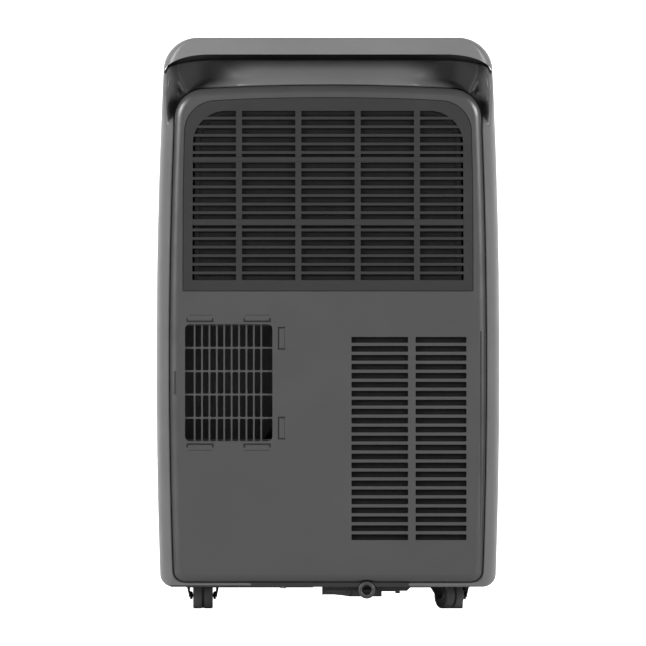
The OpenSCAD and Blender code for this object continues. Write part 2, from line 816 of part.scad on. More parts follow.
module compressor() {
    color("#1c1c1c")
    difference() {
        union() {
            post(comp_x, comp_y, 78, 250, comp_r);
            translate([comp_x, comp_y, 250]) cylinder(r1 = comp_r, r2 = comp_r - 18, h = 18);
            translate([comp_x, comp_y, 62]) cylinder(r1 = comp_r - 18, r2 = comp_r, h = 16);
            post(comp_x, comp_y, 266, 276, 14);
            // Feet
            for (a = foot_angles)
                translate([comp_x, comp_y, 62]) rotate([0, 0, a]) block(0, foot_ring + 12, -12, 12, 0, 4);
            // Suction accumulator and its neck
            post(accu_x, comp_y, 90, 220, 22);
            post(accu_x, comp_y, 80, 91, 8);
            post(accu_x, comp_y, 219, 230, 8);
            rod_x(comp_y, 86, comp_x + comp_r - 6, accu_x, 5);
        }
        for (a = foot_angles)
            translate([comp_x, comp_y, 50]) rotate([0, 0, a]) translate([foot_ring, 0, 0])
                cylinder(r = 8, h = 30);
    }
}

// Rubber bushes between the compressor's feet and the studs of the base pan
module compressor_grommets() {
    color("#151515")
    for (a = foot_angles)
        translate([comp_x, comp_y, 0]) rotate([0, 0, a]) translate([foot_ring, 0, 32.2])
            difference() {
                union() {
                    cylinder(r = 12, h = 29.6);
                    cylinder(r = 7.9, h = 38);
                }
                translate([0, 0, -1]) cylinder(r = 4.1, h = 50);
            }
}

// Tube along a path of points
module pipe(points, r) {
    for (i = [0:len(points) - 2]) {
        d = points[i + 1] - points[i];
        translate(points[i])
            rotate([0, acos(d[2] / norm(d)), atan2(d[1], d[0])]) cylinder(r = r, h = norm(d));
    }
    // Beads that join the straight runs
    for (i = [1:len(points) - 2]) translate(points[i]) sphere(r = 1.15 * r);
}

module copper_tubes() {
    color("#b5703c")
    union() {
        // Discharge line to the condenser
        pipe([[comp_x, comp_y, 276.4], [comp_x, comp_y, 300], [comp_x, 120, 300], [-212, 120, 300],
            [-212, 120, 366], [-212, 156, 366], [-201, 156, 366]], 4);
        // Suction line from the evaporator
        pipe([[accu_x, comp_y, 230.4], [accu_x, comp_y, 322], [-120, comp_y, 322], [-120, comp_y, 450],
            [-196, comp_y, 450], [-196, 146, 450], [-183, 146, 450]], 5);
        // Capillary between the two coils
        pipe([[-201, 170, 150], [-214, 170, 150], [-214, 104, 200], [-214, 104, 474], [-214, 158, 474],
            [-183, 158, 474]], 1.6);
    }
}

module electronics_box() {
    color("#d6d2c6")
    difference() {
        block(70, 196, -140, -60, 300, 392);
        block(73, 193, -137, -63, 303, 389);
        block(90, 176, -150, -138, 310, 382);
        block(140, 180, -70, -50, 330, 350);
    }
}

module capacitor() {
    color("#b8bcc0")
    union() {
        post(98, -100, 303.3, 370, 20);
        for (y = [-106, -94]) block(96, 100, y - 1, y + 1, 369, 378);
    }
}

// ---------------------------------------------------------------- base

caster_x = 167.5;
caster_y = 142;
pocket_r = 38;
pocket_top_z = 53;
stem_r = 5.5;
stem_top_z = 80;
caster_places = [[caster_x, caster_y], [-caster_x, caster_y], [caster_x, -caster_y],
    [-caster_x, -caster_y]];
caster_angles = [0, caster_turn, 0, 0];
base_top_z = 60;
gland_x = 60;
gland_y = 150;
gland_r = 9;

module base_pan() {
    floor_t = 3;
    color("#3a3a3a")
    difference() {
        union() {
            difference() {
                casing_block(wall + 0.6, front_y, shell_back_y, ground_gap, base_top_z, 9, 0,
                    shell_back_y - 1);
                casing_block(2 * wall + 0.6, front_y, shell_back_y, ground_gap + floor_t,
                    base_top_z + 10, 6, 0,
                    shell_back_y - 1);
            }
            for (p = caster_places) {
                post(p[0], p[1], ground_gap, pocket_top_z + 3, pocket_r + 2);
                post(p[0], p[1], pocket_top_z, stem_top_z + 3, stem_r + 4);
            }
            // Compressor studs
            for (a = foot_angles)
                translate([comp_x, comp_y, ground_gap + 1]) rotate([0, 0, a]) translate([foot_ring, 0, 0])
                    cylinder(r = 4, h = 44);
            // Condensate dam under the condenser
            block(-206, -14, 132, 134.5, ground_gap + 1, 52);
        }
        for (p = caster_places) {
            post(p[0], p[1], ground_gap - 5, pocket_top_z, pocket_r);
            post(p[0], p[1], pocket_top_z - 1, stem_top_z, stem_r + 0.06);
        }
        rod_y(drain_x, drain_z, shell_back_y - 12, shell_back_y + 5, 14);
        rod_y(drain_x, drain_z, 168, shell_back_y, 9.5);
        for (x = [-60, 60]) for (y = [-150, 0, 120]) post(x, y, ground_gap - 2, ground_gap + 10, 1.6);
        post(gland_x, gland_y, ground_gap - 2, ground_gap + 10, gland_r + 0.05);
        // Drain opening into the housing
        post(drain_x, 165, ground_gap - 2, ground_gap + 10, 5);
    }
}

// Self-tapping screws that hold the pan from below
module base_screws() {
    color("#a0a0a0")
    for (x = [-60, 60]) for (y = [-150, 0, 120])
        union() {
            post(x, y, ground_gap - 2.2, ground_gap - 0.05, 4);
            post(x, y, ground_gap - 1, ground_gap + 14, 1.55);
        }
}

// Sump moulding under the pan that the drain port screws into
module drain_housing() {
    color(plastic_dark)
    difference() {
        union() {
            along_y(150, 184)
                polygon([[8, 28.8], [-111, 28.8], [-106, 23.6], [-96.5, 23.6], [-96.5, 20.3],
                    [-90, 20.3], [-90, 22.9],
                    [-72, 22.9], [-72, 16], [-28.5, 16], [-13.5, 18.6], [8, 18.6]]);
            // Ribs on the back face
            for (x = [7, -28.5, -71]) block(x - 1, x + 1, 183, 186, 18.8, 28.8);
        }
        rod_y(drain_x, drain_z, 170, 190, 9.06);
        post(drain_x, 165, drain_z, 35, 5);
        rod_y(drain_x, drain_z, 160, 171, 6.6);
    }
}

module drain_port() {
    color("#5a5a5a")
    difference() {
        union() {
            rod_y(drain_x, drain_z, 170.5, 187, 9);
            rod_y(drain_x, drain_z, 184.6, 194, 11.7);
        }
        rod_y(drain_x, drain_z, 165, 200, drain_r);
    }
}

// Bush in the floor of the pan that a mains lead would pass through
module cord_gland() {
    color("#1a1a1a")
    difference() {
        union() {
            post(gland_x, gland_y, ground_gap, ground_gap + 12, gland_r);
            post(gland_x, gland_y, ground_gap + 3.2, ground_gap + 6, gland_r + 3);
        }
        post(gland_x, gland_y, ground_gap - 1, ground_gap + 14, 4);
    }
}

// ---------------------------------------------------------------- casters

axle_z = wheel_r;
axle_r = 2.5;
web_half = 3.1;
wheel_gap = 3.6;
cheek_x = 18.2;
cheek_t = 2.8;
hood_z = 38.5;

module at_caster(k) {
    translate([caster_places[k][0], caster_places[k][1], 0]) rotate([0, 0, caster_angles[k]]) children();
}

module caster_hood(k) {
    color(plastic_dark)
    at_caster(k)
    union() {
        post(0, 0, hood_z, stem_top_z - 1, stem_r);
        post(0, 0, hood_z, pocket_top_z - 0.6, 9);
        // Roof, cheeks and the web between the wheels
        block(-cheek_x - cheek_t, cheek_x + cheek_t, -trail - 17, 8, hood_z, hood_z + 3);
        for (s = [-1, 1])
            along_x(s > 0 ? cheek_x : -cheek_x - cheek_t, s > 0 ? cheek_x + cheek_t : -cheek_x)
                polygon([[8, hood_z + 1], [-trail - 17, hood_z + 1], [-trail - 13, 24],
                    [-trail - 3, 16], [-trail + 3, 16],
                    [2, 24]]);
        along_x(-web_half, web_half)
            polygon([[8, hood_z + 1], [-trail - 16, hood_z + 1], [-trail - 16, 18], [-trail - 8, 5],
                [-trail + 8, 5],
                [6, 18]]);
        rod_x(-trail, axle_z, -cheek_x, cheek_x, axle_r);
    }
}

// One wheel of a twin caster: side -1 or 1
module caster_wheel(k, side) {
    x0 = side > 0 ? wheel_gap : -wheel_gap - wheel_w;
    dish = side > 0 ? wheel_gap + wheel_w - 2 : -wheel_gap - wheel_w - 1;
    color("#505050")
    at_caster(k)
    difference() {
        rod_x(-trail, axle_z, x0, x0 + wheel_w, wheel_r);
        rod_x(-trail, axle_z, x0 - 1, x0 + wheel_w + 1, axle_r + 0.06);
        difference() {
            rod_x(-trail, axle_z, dish, dish + 3, wheel_r - 3);
            rod_x(-trail, axle_z, dish - 1, dish + 4, 6);
        }
    }
}

body_shell();
front_panel();
rear_panel();
top_cover();
base_pan();
upper_grille();
upper_filter();
lower_filter();
exhaust_grid();
control_fascia();
display_lens();
control_board();
button(0);  // power_button
button(1);  // mode_button
button(2);  // up_button
button(3);  // down_button
button(4);  // fan_button
button(5);  // timer_button
outlet_frame();
outlet_flap();
flap_motor();
vane(-2);  // vane_1
vane(-1);  // vane_2
vane(0);  // vane_3
vane(1);  // vane_4
vane(2);  // vane_5
vane_link();
upper_scroll();
upper_blower_wheel();
upper_fan_motor();
evaporator_coil();
drain_tray();
lower_scroll();
lower_blower_wheel();
lower_fan_motor();
condenser_coil();
splash_wheel();
splash_motor();
compressor();
compressor_grommets();
copper_tubes();
electronics_box();
capacitor();
drain_housing();
drain_port();
cord_gland();
base_screws();
caster_hood(0);  // caster_1_hood
caster_wheel(0, -1);  // caster_1_wheel_a
caster_wheel(0, 1);  // caster_1_wheel_b
caster_hood(1);  // caster_2_hood
caster_wheel(1, -1);  // caster_2_wheel_a
caster_wheel(1, 1);  // caster_2_wheel_b
caster_hood(2);  // caster_3_hood
caster_wheel(2, -1);  // caster_3_wheel_a
caster_wheel(2, 1);  // caster_3_wheel_b
caster_hood(3);  // caster_4_hood
caster_wheel(3, -1);  // caster_4_wheel_a
caster_wheel(3, 1);  // caster_4_wheel_b
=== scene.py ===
"""Looks of a portable air conditioner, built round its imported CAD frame.

Lengths are in mm, in the CAD's own axes, until Builder.build() turns them into metres.
"""
import json
import math

import bmesh
import bpy
from mathutils import Matrix, Vector
from mathutils.geometry import delaunay_2d_cdt


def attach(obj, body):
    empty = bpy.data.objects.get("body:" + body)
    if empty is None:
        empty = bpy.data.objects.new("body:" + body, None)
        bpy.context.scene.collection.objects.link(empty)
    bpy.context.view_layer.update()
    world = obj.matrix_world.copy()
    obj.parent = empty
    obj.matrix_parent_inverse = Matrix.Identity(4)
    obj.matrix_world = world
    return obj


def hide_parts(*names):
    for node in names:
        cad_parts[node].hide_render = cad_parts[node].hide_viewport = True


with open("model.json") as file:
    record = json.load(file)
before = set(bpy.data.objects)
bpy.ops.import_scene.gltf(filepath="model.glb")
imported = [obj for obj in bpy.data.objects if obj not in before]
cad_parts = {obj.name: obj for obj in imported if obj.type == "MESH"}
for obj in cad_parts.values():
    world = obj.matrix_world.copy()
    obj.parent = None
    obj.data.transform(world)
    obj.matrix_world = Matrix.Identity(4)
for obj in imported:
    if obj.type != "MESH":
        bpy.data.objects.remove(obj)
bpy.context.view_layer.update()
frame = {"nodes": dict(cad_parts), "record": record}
nodes = frame["nodes"]

MM = 0.001

# Overall
BACK_Y = 197.5
FRONT_Y = -197.5
SHELL_BACK_Y = 190.0
FRONT_SEAM_Y = -150.0
FLOOR_GAP = 29.0
SHELL_TOP = 735.0
WALL = 3.0
CORNER_X, CORNER_RISE, LOW_CORNER_R = 158.5, 18.5, 18

# Cover
COVER_TOP = 765.0
COVER_LOW = 718.0
COVER_LIP_Z = 742.5
NECK_REAR_Y = 116

# Rear panel
PANEL_LOW = 35.5
PANEL_TOP = 701.0
SEAM_INSET = 18.0
SEAM_GAP = 0.6
RIM_W, RIM_D, RIM_BEND = 10.6, 8.5, 1.25
HOSE_X, HOSE_Z, HOSE_W, HOSE_H = 133.0, 302.6, 117.0, 156.5
SLOT_H = 7.6
LOWER_COLUMNS = ((-107.3, -31.5), (-185.5, -117.4))
LOWER_ROWS, LOWER_FIRST_Z, LOWER_PITCH = 23, 356.2, 12.02
GROOVE_FLOOR_Y = 194.45
FILTER_SLOT_Z = (86, 372)
LATCH_Z = (287, 318)

# Grille door
UPPER_ROWS, UPPER_FIRST_Z, SLOT_PITCH = 20, 659.1, 11.52
UPPER_COLUMNS, COLUMN_PITCH, BAR_HALF = 5, 79.5, 4
CROSS_BARS = ((599.0, 605.0), (513.4, 521.8))
DOOR_BACK_Y, DOOR_FACE_Y = 193.5, 196.7
HINGE_Y, HINGE_Z, HINGE_R = 195.1, 428, 1.5

# Grip recess and the sunken corners beside it
GRIP_DEPTH = 31
CORNER_DEPTH, CORNER_FROM_Z = 42, 638
POCKET_DEPTH = 27
CREST_X, CREST_Z, CREST_RISE = 194.5, 692, 5
CREST_LEAN = 0.5

# Underside
DRAIN_X, DRAIN_Z = -52.0, 24.8
PORT_ROOM_R = 14
TRAY_SIDE = ((60, 0), (47, 0), (40, 2), (35, 5.5), (31.5, 10), (29.1, 15))
AXLE_Y, AXLE_Z, WHEEL_R = -10.0, 17.9, 17.9
WEB_R, WEB_T, WHEEL_IN = 17.2, 1.7, 1.7
CASTERS = ((167.5, 142.0, 0), (-167.5, 142.0, 31), (167.5, -142.0, 0), (-167.5, -142.0, 0))
CASTER_ROOM_R = 38


# ------------------------------------------------------------------ mesh tools

class Builder:
    """Loops, strips and flat caps that make up one piece."""

    def __init__(self):
        self.verts, self.faces, self.smooth = [], [], []

    def loop(self, points):
        first = len(self.verts)
        self.verts += [tuple(p) for p in points]
        return list(range(first, first + len(points)))

    def strip(self, a, b, smooth=True, closed=True):
        n = len(a)
        for k in range(n if closed else n - 1):
            j = (k + 1) % n
            self.faces.append((a[k], a[j], b[j], b[k]))
            self.smooth.append(smooth)

    def rows(self, rings, smooth=True, closed=True):
        """A strip between each ring of points and the next; returns the index loops."""
        loops = [self.loop(r) for r in rings]
        for a, b in zip(loops, loops[1:]):
            self.strip(a, b, smooth, closed)
        return loops

    def face(self, loop, smooth=False):
        self.faces.append(tuple(loop))
        self.smooth.append(smooth)

    def cap(self, rings, axes=(0, 2), smooth=False):
        """Fills the first index loop, with the others left out as holes."""
        ids = [i for ring in rings for i in ring]
        flat = [Vector((self.verts[i][axes[0]], self.verts[i][axes[1]])) for i in ids]
        edges, at = [], 0
        for ring in rings:
            edges += [(at + k, at + (k + 1) % len(ring)) for k in range(len(ring))]
            at += len(ring)
        co, _, tris, source, _, _ = delaunay_2d_cdt(flat, edges, [], 0, 1e-7)
        polys = []
        at = 0
        for ring in rings:
            pts = flat[at:at + len(ring)]
            at += len(ring)
            xs, ys = [p.x for p in pts], [p.y for p in pts]
            polys.append((pts, min(xs), max(xs), min(ys), max(ys)))
        for tri in tris:
            m = sum((co[i] for i in tri), Vector((0, 0))) / len(tri)
            if not inside(m, polys[0]) or any(inside(m, p) for p in polys[1:]):
                continue
            self.faces.append(tuple(ids[source[i][0]] for i in tri))
            self.smooth.append(smooth)

    def build(self, name, material, body, slot, replaces=()):
        mesh = bpy.data.meshes.new(name)
        mesh.from_pydata([(x * MM, y * MM, z * MM) for x, y, z in self.verts], [], self.faces)
        mesh.polygons.foreach_set("use_smooth", self.smooth)
        obj = bpy.data.objects.new(name, mesh)
        bpy.context.scene.collection.objects.link(obj)
        bm = bmesh.new()
        bm.from_mesh(mesh)
        bmesh.ops.remove_doubles(bm, verts=bm.verts, dist=2e-6)
        bmesh.ops.recalc_face_normals(bm, faces=bm.faces)
        bm.to_mesh(mesh)
        bm.free()
        mesh.materials.append(material)
        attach(obj, body)
        if replaces:
            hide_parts(*replaces)
        return obj


def inside(p, poly):
    pts, x0, x1, y0, y1 = poly
    if not (x0 <= p.x <= x1 and y0 <= p.y <= y1):
        return False
    hit = False
    for k, a in enumerate(pts):
        b = pts[k - 1]
        if (a.y > p.y) != (b.y > p.y) and p.x < (b.x - a.x) * (p.y - a.y) / (b.y - a.y) + a.x:
            hit = not hit
    return hit


def lerp(a, b, t):
    return a + (b - a) * t


def ease(t):
    t = min(1.0, max(0.0, t))
    return t * t * (3 - 2 * t)


def frange(a, b, step):
    """Values from a as far as b, a step apart."""
    return [a + step * k for k in range(int((b - a) / step) + 1)]


def polar(degrees, r=1.0, centre=(0.0, 0.0)):
    a = math.radians(degrees)
    return (centre[0] + r * math.cos(a), centre[1] + r * math.sin(a))


def circle(centre, r, n):
    return [polar(360 * k / n, r, centre) for k in range(n)]


def mirrored(points):
    """The same points on the other side of the middle, in the opposite order."""
    return [(-x, z) for x, z in reversed(points)]


def quarter(x0, z0, wide, high, step):
    """Quarter of an ellipse, from its side to its top."""
    rim = [polar(g) for g in range(0, 91, step)]
    return [(x0 + wide * c, z0 + high * s) for c, s in rim]


def corner_arc(a, b, c, r, n):
    """Points of the arc of radius r that rounds corner b of a-b-c."""
    if r <= 0:
        return [tuple(b)]
    a, b, c = Vector(a), Vector(b), Vector(c)
    u, v = (a - b).normalized(), (c - b).normalized()
    half = math.acos(max(-1, min(1, u.dot(v)))) / 2
    start = b + u * r / math.tan(half)
    centre = b + (u + v).normalized() * r / math.sin(half)
    sign = 1 if u.x * v.y - u.y * v.x < 0 else -1
    a0 = math.atan2(start.y - centre.y, start.x - centre.x)
    sweep = sign * (math.pi - 2 * half)
    turns = [a0 + sweep * k / n for k in range(n + 1)]
    return [(centre.x + r * math.cos(a), centre.y + r * math.sin(a)) for a in turns]


def rounded(corners, n=6):
    """Closed outline; each corner is (x, y, radius)."""
    out = []
    for i, (x, y, r) in enumerate(corners):
        a, c = corners[i - 1], corners[(i + 1) % len(corners)]
        out += corner_arc(a[:2], (x, y), c[:2], r, n)
    return out


def box_outline(x0, z0, x1, z1, r=0.8, n=3):
    return rounded([(x1, z0, r), (x1, z1, r), (x0, z1, r), (x0, z0, r)], n)


def grown(outline, d):
    """Outline moved outwards by d."""
    area = sum(outline[k - 1][0] * p[1] - p[0] * outline[k - 1][1] for k, p in enumerate(outline))
    s = 1 if area > 0 else -1
    out = []
    n = len(outline)
    for k in range(n):
        a, b, c = Vector(outline[k - 1]), Vector(outline[k]), Vector(outline[(k + 1) % n])
        e, f = (b - a).normalized(), (c - b).normalized()
        m = Vector((e.y + f.y, -e.x - f.x)) * s
        m = m.normalized() if m.length > 1e-9 else Vector((e.y, -e.x)) * s
        cos = max(0.4, m.dot(Vector((e.y, -e.x)) * s))
        out.append((b.x + m.x * d / cos, b.y + m.y * d / cos))
    return out


def at_y(outline, y):
    return [(x, y, z) for x, z in outline]


def plate(b, outer, holes, y_back, y_face, bevel=0.3, hole_bevel=None):
    """Closed plate in XZ whose edges are bevelled on the side of y_face."""
    sign = 1 if y_face > y_back else -1
    hb = bevel if hole_bevel is None else hole_bevel
    front = [b.loop(at_y(grown(outer, -bevel), y_face))]
    edge = [b.loop(at_y(outer, y_face - sign * bevel))]
    back = [b.loop(at_y(outer, y_back))]
    for h in holes:
        front.append(b.loop(at_y(grown(h, hb), y_face)))
        edge.append(b.loop(at_y(h, y_face - sign * hb)))
        back.append(b.loop(at_y(h, y_back)))
    for f, e, k in zip(front, edge, back):
        b.strip(f, e, False)
        b.strip(e, k, False)
    b.cap(front)
    b.cap(back)


def lathe(b, profile, centre, axis, n=48, smooth=True):
    """Closed shape turned about an axis; the profile is (distance along the axis, radius)."""
    cx, cy, cz = centre
    rings = []
    for at, r in profile:
        ring = []
        for u, v in circle((0, 0), r, n):
            x, y, z = {"x": (at, u, v), "y": (u, at, v), "z": (u, v, at)}[axis]
            ring.append((x + cx, y + cy, z + cz))
        rings.append(ring)
    loops = b.rows(rings, smooth)
    b.face(loops[0])
    b.face(loops[-1])


def side_x(z):
    """Half width of the casing, which bulges a little in the middle of its height."""
    return 230.0 - (z - 330.0) ** 2 / 16200.0


def arch(x, top):
    """Height of a gently curved upper edge."""
    return top - x * x / 6000.0


def outline(half_x, z0, z1, r0, r1, top, n=(24, 16, 56, 36)):
    """Outline of the casing, from the middle of its bottom edge; n counts the points of each stretch."""
    nb, nc, ns, nt = n
    low = corner_arc((0, z0), (half_x(z0), z0), (half_x(z0 + 60), z0 + 60), r0, nc)
    xv = half_x(z1)
    high = corner_arc((half_x(z1 - 60), z1 - 60), (xv, top(xv)), (xv - 60, top(xv - 60)), r1, nc)
    half = [(low[0][0] * k / nb, z0) for k in range(nb)]
    half += low
    za, zb = low[-1][1], high[0][1]
    for k in range(1, ns + 1):
        z = lerp(za, zb, k / (ns + 1))
        half.append((half_x(z), z))
    half += high
    for k in range(1, nt):
        x = lerp(high[-1][0], 0, k / nt)
        half.append((x, top(x)))
    return half + [(0, top(0))] + mirrored(half[1:])


def out_normals(line):
    n = len(line)
    out = []
    for k in range(n):
        a, c = line[k - 1], line[(k + 1) % n]
        e = Vector((c[0] - a[0], c[1] - a[1])).normalized()
        out.append((e.y, -e.x))
    return out


# ------------------------------------------------------------------ materials

def linear(grey):
    c = grey / 255
    return c / 12.92 if c <= 0.04045 else ((c + 0.055) / 1.055) ** 2.4


def shade(rgb):
    return tuple(linear(c) for c in rgb) + (1.0,)


def new_material(name):
    mat = bpy.data.materials.new(name)
    mat.use_nodes = True
    tree = mat.node_tree
    tree.nodes.clear()
    out = tree.nodes.new("ShaderNodeOutputMaterial")
    bsdf = tree.nodes.new("ShaderNodeBsdfPrincipled")
    tree.links.new(bsdf.outputs[0], out.inputs[0])
    coord = tree.nodes.new("ShaderNodeTexCoord")
    return mat, tree, bsdf, coord


def noise(tree, coord, scale, detail=3.0, rough=0.5, stretch=None):
    tex = tree.nodes.new("ShaderNodeTexNoise")
    tex.inputs["Scale"].default_value = scale
    tex.inputs["Detail"].default_value = detail
    tex.inputs["Roughness"].default_value = rough
    source = coord.outputs["Object"]
    if stretch:
        mapping = tree.nodes.new("ShaderNodeMapping")
        mapping.inputs["Scale"].default_value = stretch
        tree.links.new(source, mapping.inputs["Vector"])
        source = mapping.outputs[0]
    tree.links.new(source, tex.inputs["Vector"])
    return tex.outputs["Fac"]


def remap(tree, value, low, high, a=0.3, b=0.7):
    node = tree.nodes.new("ShaderNodeMapRange")
    node.inputs["From Min"].default_value = a
    node.inputs["From Max"].default_value = b
    node.inputs["To Min"].default_value = low
    node.inputs["To Max"].default_value = high
    tree.links.new(value, node.inputs["Value"])
    return node.outputs[0]


def two_tone(tree, value, dark, light, a=0.3, b=0.7):
    ramp = tree.nodes.new("ShaderNodeValToRGB")
    ramp.color_ramp.elements[0].position = a
    ramp.color_ramp.elements[0].color = dark
    ramp.color_ramp.elements[1].position = b
    ramp.color_ramp.elements[1].color = light
    tree.links.new(value, ramp.inputs["Fac"])
    return ramp.outputs["Color"]


def bump(tree, bsdf, height, strength, distance):
    node = tree.nodes.new("ShaderNodeBump")
    node.inputs["Strength"].default_value = strength
    node.inputs["Distance"].default_value = distance
    tree.links.new(height, node.inputs["Height"])
    tree.links.new(node.outputs[0], bsdf.inputs["Normal"])


def plastic(name, rgb, rough=0.42, grain=0.25, grain_size=0.7, spread=0.03, specular=0.3):
    """Moulded plastic with a fine grain, a slightly uneven sheen and a faint cloud in its colour."""
    mat, tree, bsdf, coord = new_material(name)
    cloud = noise(tree, coord, 9.0, 2.0)
    dark = shade([c * (1 - spread) for c in rgb])
    light = shade([min(255, c * (1 + spread)) for c in rgb])
    tree.links.new(two_tone(tree, cloud, dark, light), bsdf.inputs["Base Color"])
    sheen = noise(tree, coord, 38.0, 4.0)
    tree.links.new(remap(tree, sheen, rough - 0.04, rough + 0.05), bsdf.inputs["Roughness"])
    bump(tree, bsdf, noise(tree, coord, 1000.0 / grain_size, 2.0, 0.6), grain, 0.00006)
    bsdf.inputs["Specular IOR Level"].default_value = specular
    return mat


def metal(name, rgb, rough=0.35, brushed=(1, 1, 1), scratch=0.2):
    """Sheet or turned metal with fine scratches along one direction."""
    mat, tree, bsdf, coord = new_material(name)
    bsdf.inputs["Metallic"].default_value = 1.0
    lines = noise(tree, coord, 260.0, 3.0, 0.6, brushed)
    tone = two_tone(tree, lines, shade([c * 0.86 for c in rgb]), shade(rgb))
    tree.links.new(tone, bsdf.inputs["Base Color"])
    tree.links.new(remap(tree, lines, rough - 0.08, rough + 0.12), bsdf.inputs["Roughness"])
    bump(tree, bsdf, lines, scratch, 0.0001)
    return mat


def net(name, rgb, pitch=0.0016):
    """Woven filter net: two crossing sets of threads."""
    mat, tree, bsdf, coord = new_material(name)
    waves = []
    for axis in "XZ":
        wave = tree.nodes.new("ShaderNodeTexWave")
        wave.bands_direction = axis
        wave.inputs["Scale"].default_value = 0.314 / pitch
        tree.links.new(coord.outputs["Object"], wave.inputs["Vector"])
        waves.append(wave.outputs["Fac"])
    top = tree.nodes.new("ShaderNodeMath")
    top.operation = "MAXIMUM"
    tree.links.new(waves[0], top.inputs[0])
    tree.links.new(waves[1], top.inputs[1])
    tone = two_tone(tree, top.outputs[0], shade([c * 0.3 for c in rgb]), shade(rgb), 0.35, 0.8)
    tree.links.new(tone, bsdf.inputs["Base Color"])
    tree.links.new(remap(tree, noise(tree, coord, 60.0), 0.7, 0.85), bsdf.inputs["Roughness"])
    bsdf.inputs["Specular IOR Level"].default_value = 0.12
    bump(tree, bsdf, top.outputs[0], 0.5, 0.0004)
    return mat


def fins(name, rgb, pitch=0.0022):
    """Stack of thin upright aluminium fins."""
    mat, tree, bsdf, coord = new_material(name)
    wave = tree.nodes.new("ShaderNodeTexWave")
    wave.bands_direction = "X"
    wave.inputs["Scale"].default_value = 0.314 / pitch
    wave.inputs["Distortion"].default_value = 0.4
    tree.links.new(coord.outputs["Object"], wave.inputs["Vector"])
    tone = two_tone(tree, wave.outputs["Fac"], shade([c * 0.15 for c in rgb]), shade(rgb), 0.2, 0.8)
    tree.links.new(tone, bsdf.inputs["Base Color"])
    bsdf.inputs["Metallic"].default_value = 0.8
    tree.links.new(remap(tree, noise(tree, coord, 30.0), 0.35, 0.6), bsdf.inputs["Roughness"])
    bump(tree, bsdf, wave.outputs["Fac"], 1.0, 0.0008)
    return mat


SHELL_GREY = (84, 84, 84)
PANEL_GREY = (52, 52, 52)
M = {
    "shell_plastic": plastic("shell_plastic", SHELL_GREY, 0.36, 0.2),
    "front_plastic": plastic("front_plastic", SHELL_GREY, 0.36, 0.2),
    "panel_plastic": plastic("panel_plastic", PANEL_GREY, 0.33, 0.3, specular=0.5),
    "cover_plastic": plastic("cover_plastic", (96, 96, 96), 0.38, 0.2),
    "base_plastic": plastic("base_plastic", (32, 32, 32), 0.5, 0.4, 1.0),
    "grille_plastic": plastic("grille_plastic", (34, 34, 34), 0.42, 0.25),
    "filter_mesh": net("filter_mesh", (21, 21, 21)),
    "fascia_gloss": plastic("fascia_gloss", (16, 16, 17), 0.08, 0.02, 1.5),
    "display_lens": plastic("display_lens", (9, 12, 14), 0.05, 0.01, 2.0),
    "circuit_board": plastic("circuit_board", (24, 74, 44), 0.45, 0.3, 1.5, 0.15),
    "dark_plastic": plastic("dark_plastic", (22, 22, 22), 0.5, 0.4, 1.0),
    "motor_steel": metal("motor_steel", (150, 152, 154), 0.38, (1, 0.1, 1)),
    "duct_plastic": plastic("duct_plastic", (62, 62, 62), 0.55, 0.3, 1.2, 0.05),
    "coil_aluminium": fins("coil_aluminium", (120, 122, 124)),
    "compressor_paint": plastic("compressor_paint", (24, 24, 25), 0.3, 0.5, 3.0, 0.08),
    "rubber_black": plastic("rubber_black", (14, 14, 14), 0.75, 0.5, 0.8, 0.08, 0.15),
    "copper": metal("copper", (188, 112, 74), 0.3, (1, 1, 1), 0.3),
    "port_plastic": plastic("port_plastic", (52, 52, 52), 0.42, 0.2),
    "screw_steel": metal("screw_steel", (168, 168, 170), 0.3, (4, 4, 0.3)),
    "button_plastic": plastic("button_plastic", (58, 58, 60), 0.4, 0.2),
    "caster_plastic": plastic("caster_plastic", (27, 27, 27), 0.6, 0.3, 0.7, 0.03, 0.12),
    "wheel_plastic": plastic("wheel_plastic", (72, 72, 72), 0.62, 0.35, 1.0, 0.06, 0.12),
}

for part in frame["record"]["subparts"]:
    cad = nodes[part["node"]]
    cad.data.materials.clear()
    cad.data.materials.append(M[part["material_slot"]])


# ------------------------------------------------------------------ casing

def round_in(d, ax, ay):
    """Depth below the crest of an elliptic edge, at a distance d from the outline."""
    t = max(0.0, (ax - d) / ax)
    return ay * (1 - math.sqrt(max(0.0, 1 - t * t)))


def shoot(line, origin, way):
    """Where a ray from inside an outline leaves it."""
    ox, oz = origin
    dx, dz = way
    best = None
    for k in range(len(line)):
        x0, z0 = line[k - 1]
        x1, z1 = line[k]
        ex, ez = x1 - x0, z1 - z0
        det = dx * ez - dz * ex
        if abs(det) < 1e-12:
            continue
        t = ((x0 - ox) * ez - (z0 - oz) * ex) / det
        u = ((x0 - ox) * dz - (z0 - oz) * dx) / det
        if t > 0 and -1e-6 <= u <= 1 + 1e-6 and (best is None or t > best):
            best = t
    return (ox + dx * best, oz + dz * best)


def spokes():
    """Rays from inside the casing outwards, closest together where its outlines bend."""
    low_hub, high_hub = (165.0, 75.0), (118.0, 634.0)
    half = [((x, 90.0), (0.0, -1.0)) for x in (0, 12, 25, 38, 45, 52, 59, 66, 80, 95, 110, 130, 150)]
    turns = frange(0, 36, 2) + frange(37, 66, 0.6) + frange(68, 90, 2)
    half += [(low_hub, polar(g - 90)) for g in turns]
    half += [((150.0, lerp(75, 628, k / 64)), (1.0, 0.0)) for k in range(1, 65)]
    half += [(high_hub, polar(g)) for g in frange(0.7, 90, 1.1)]
    top_x = frange(118, 70, -8) + frange(60, 0, -10)
    half += [((x, high_hub[1]), (0.0, 1.0)) for x in top_x]
    return half + [((-ox, oz), (-dx, dz)) for (ox, oz), (dx, dz) in reversed(half[1:-1])]


def matched(line):
    return [shoot(line, o, w) for o, w in spokes()]


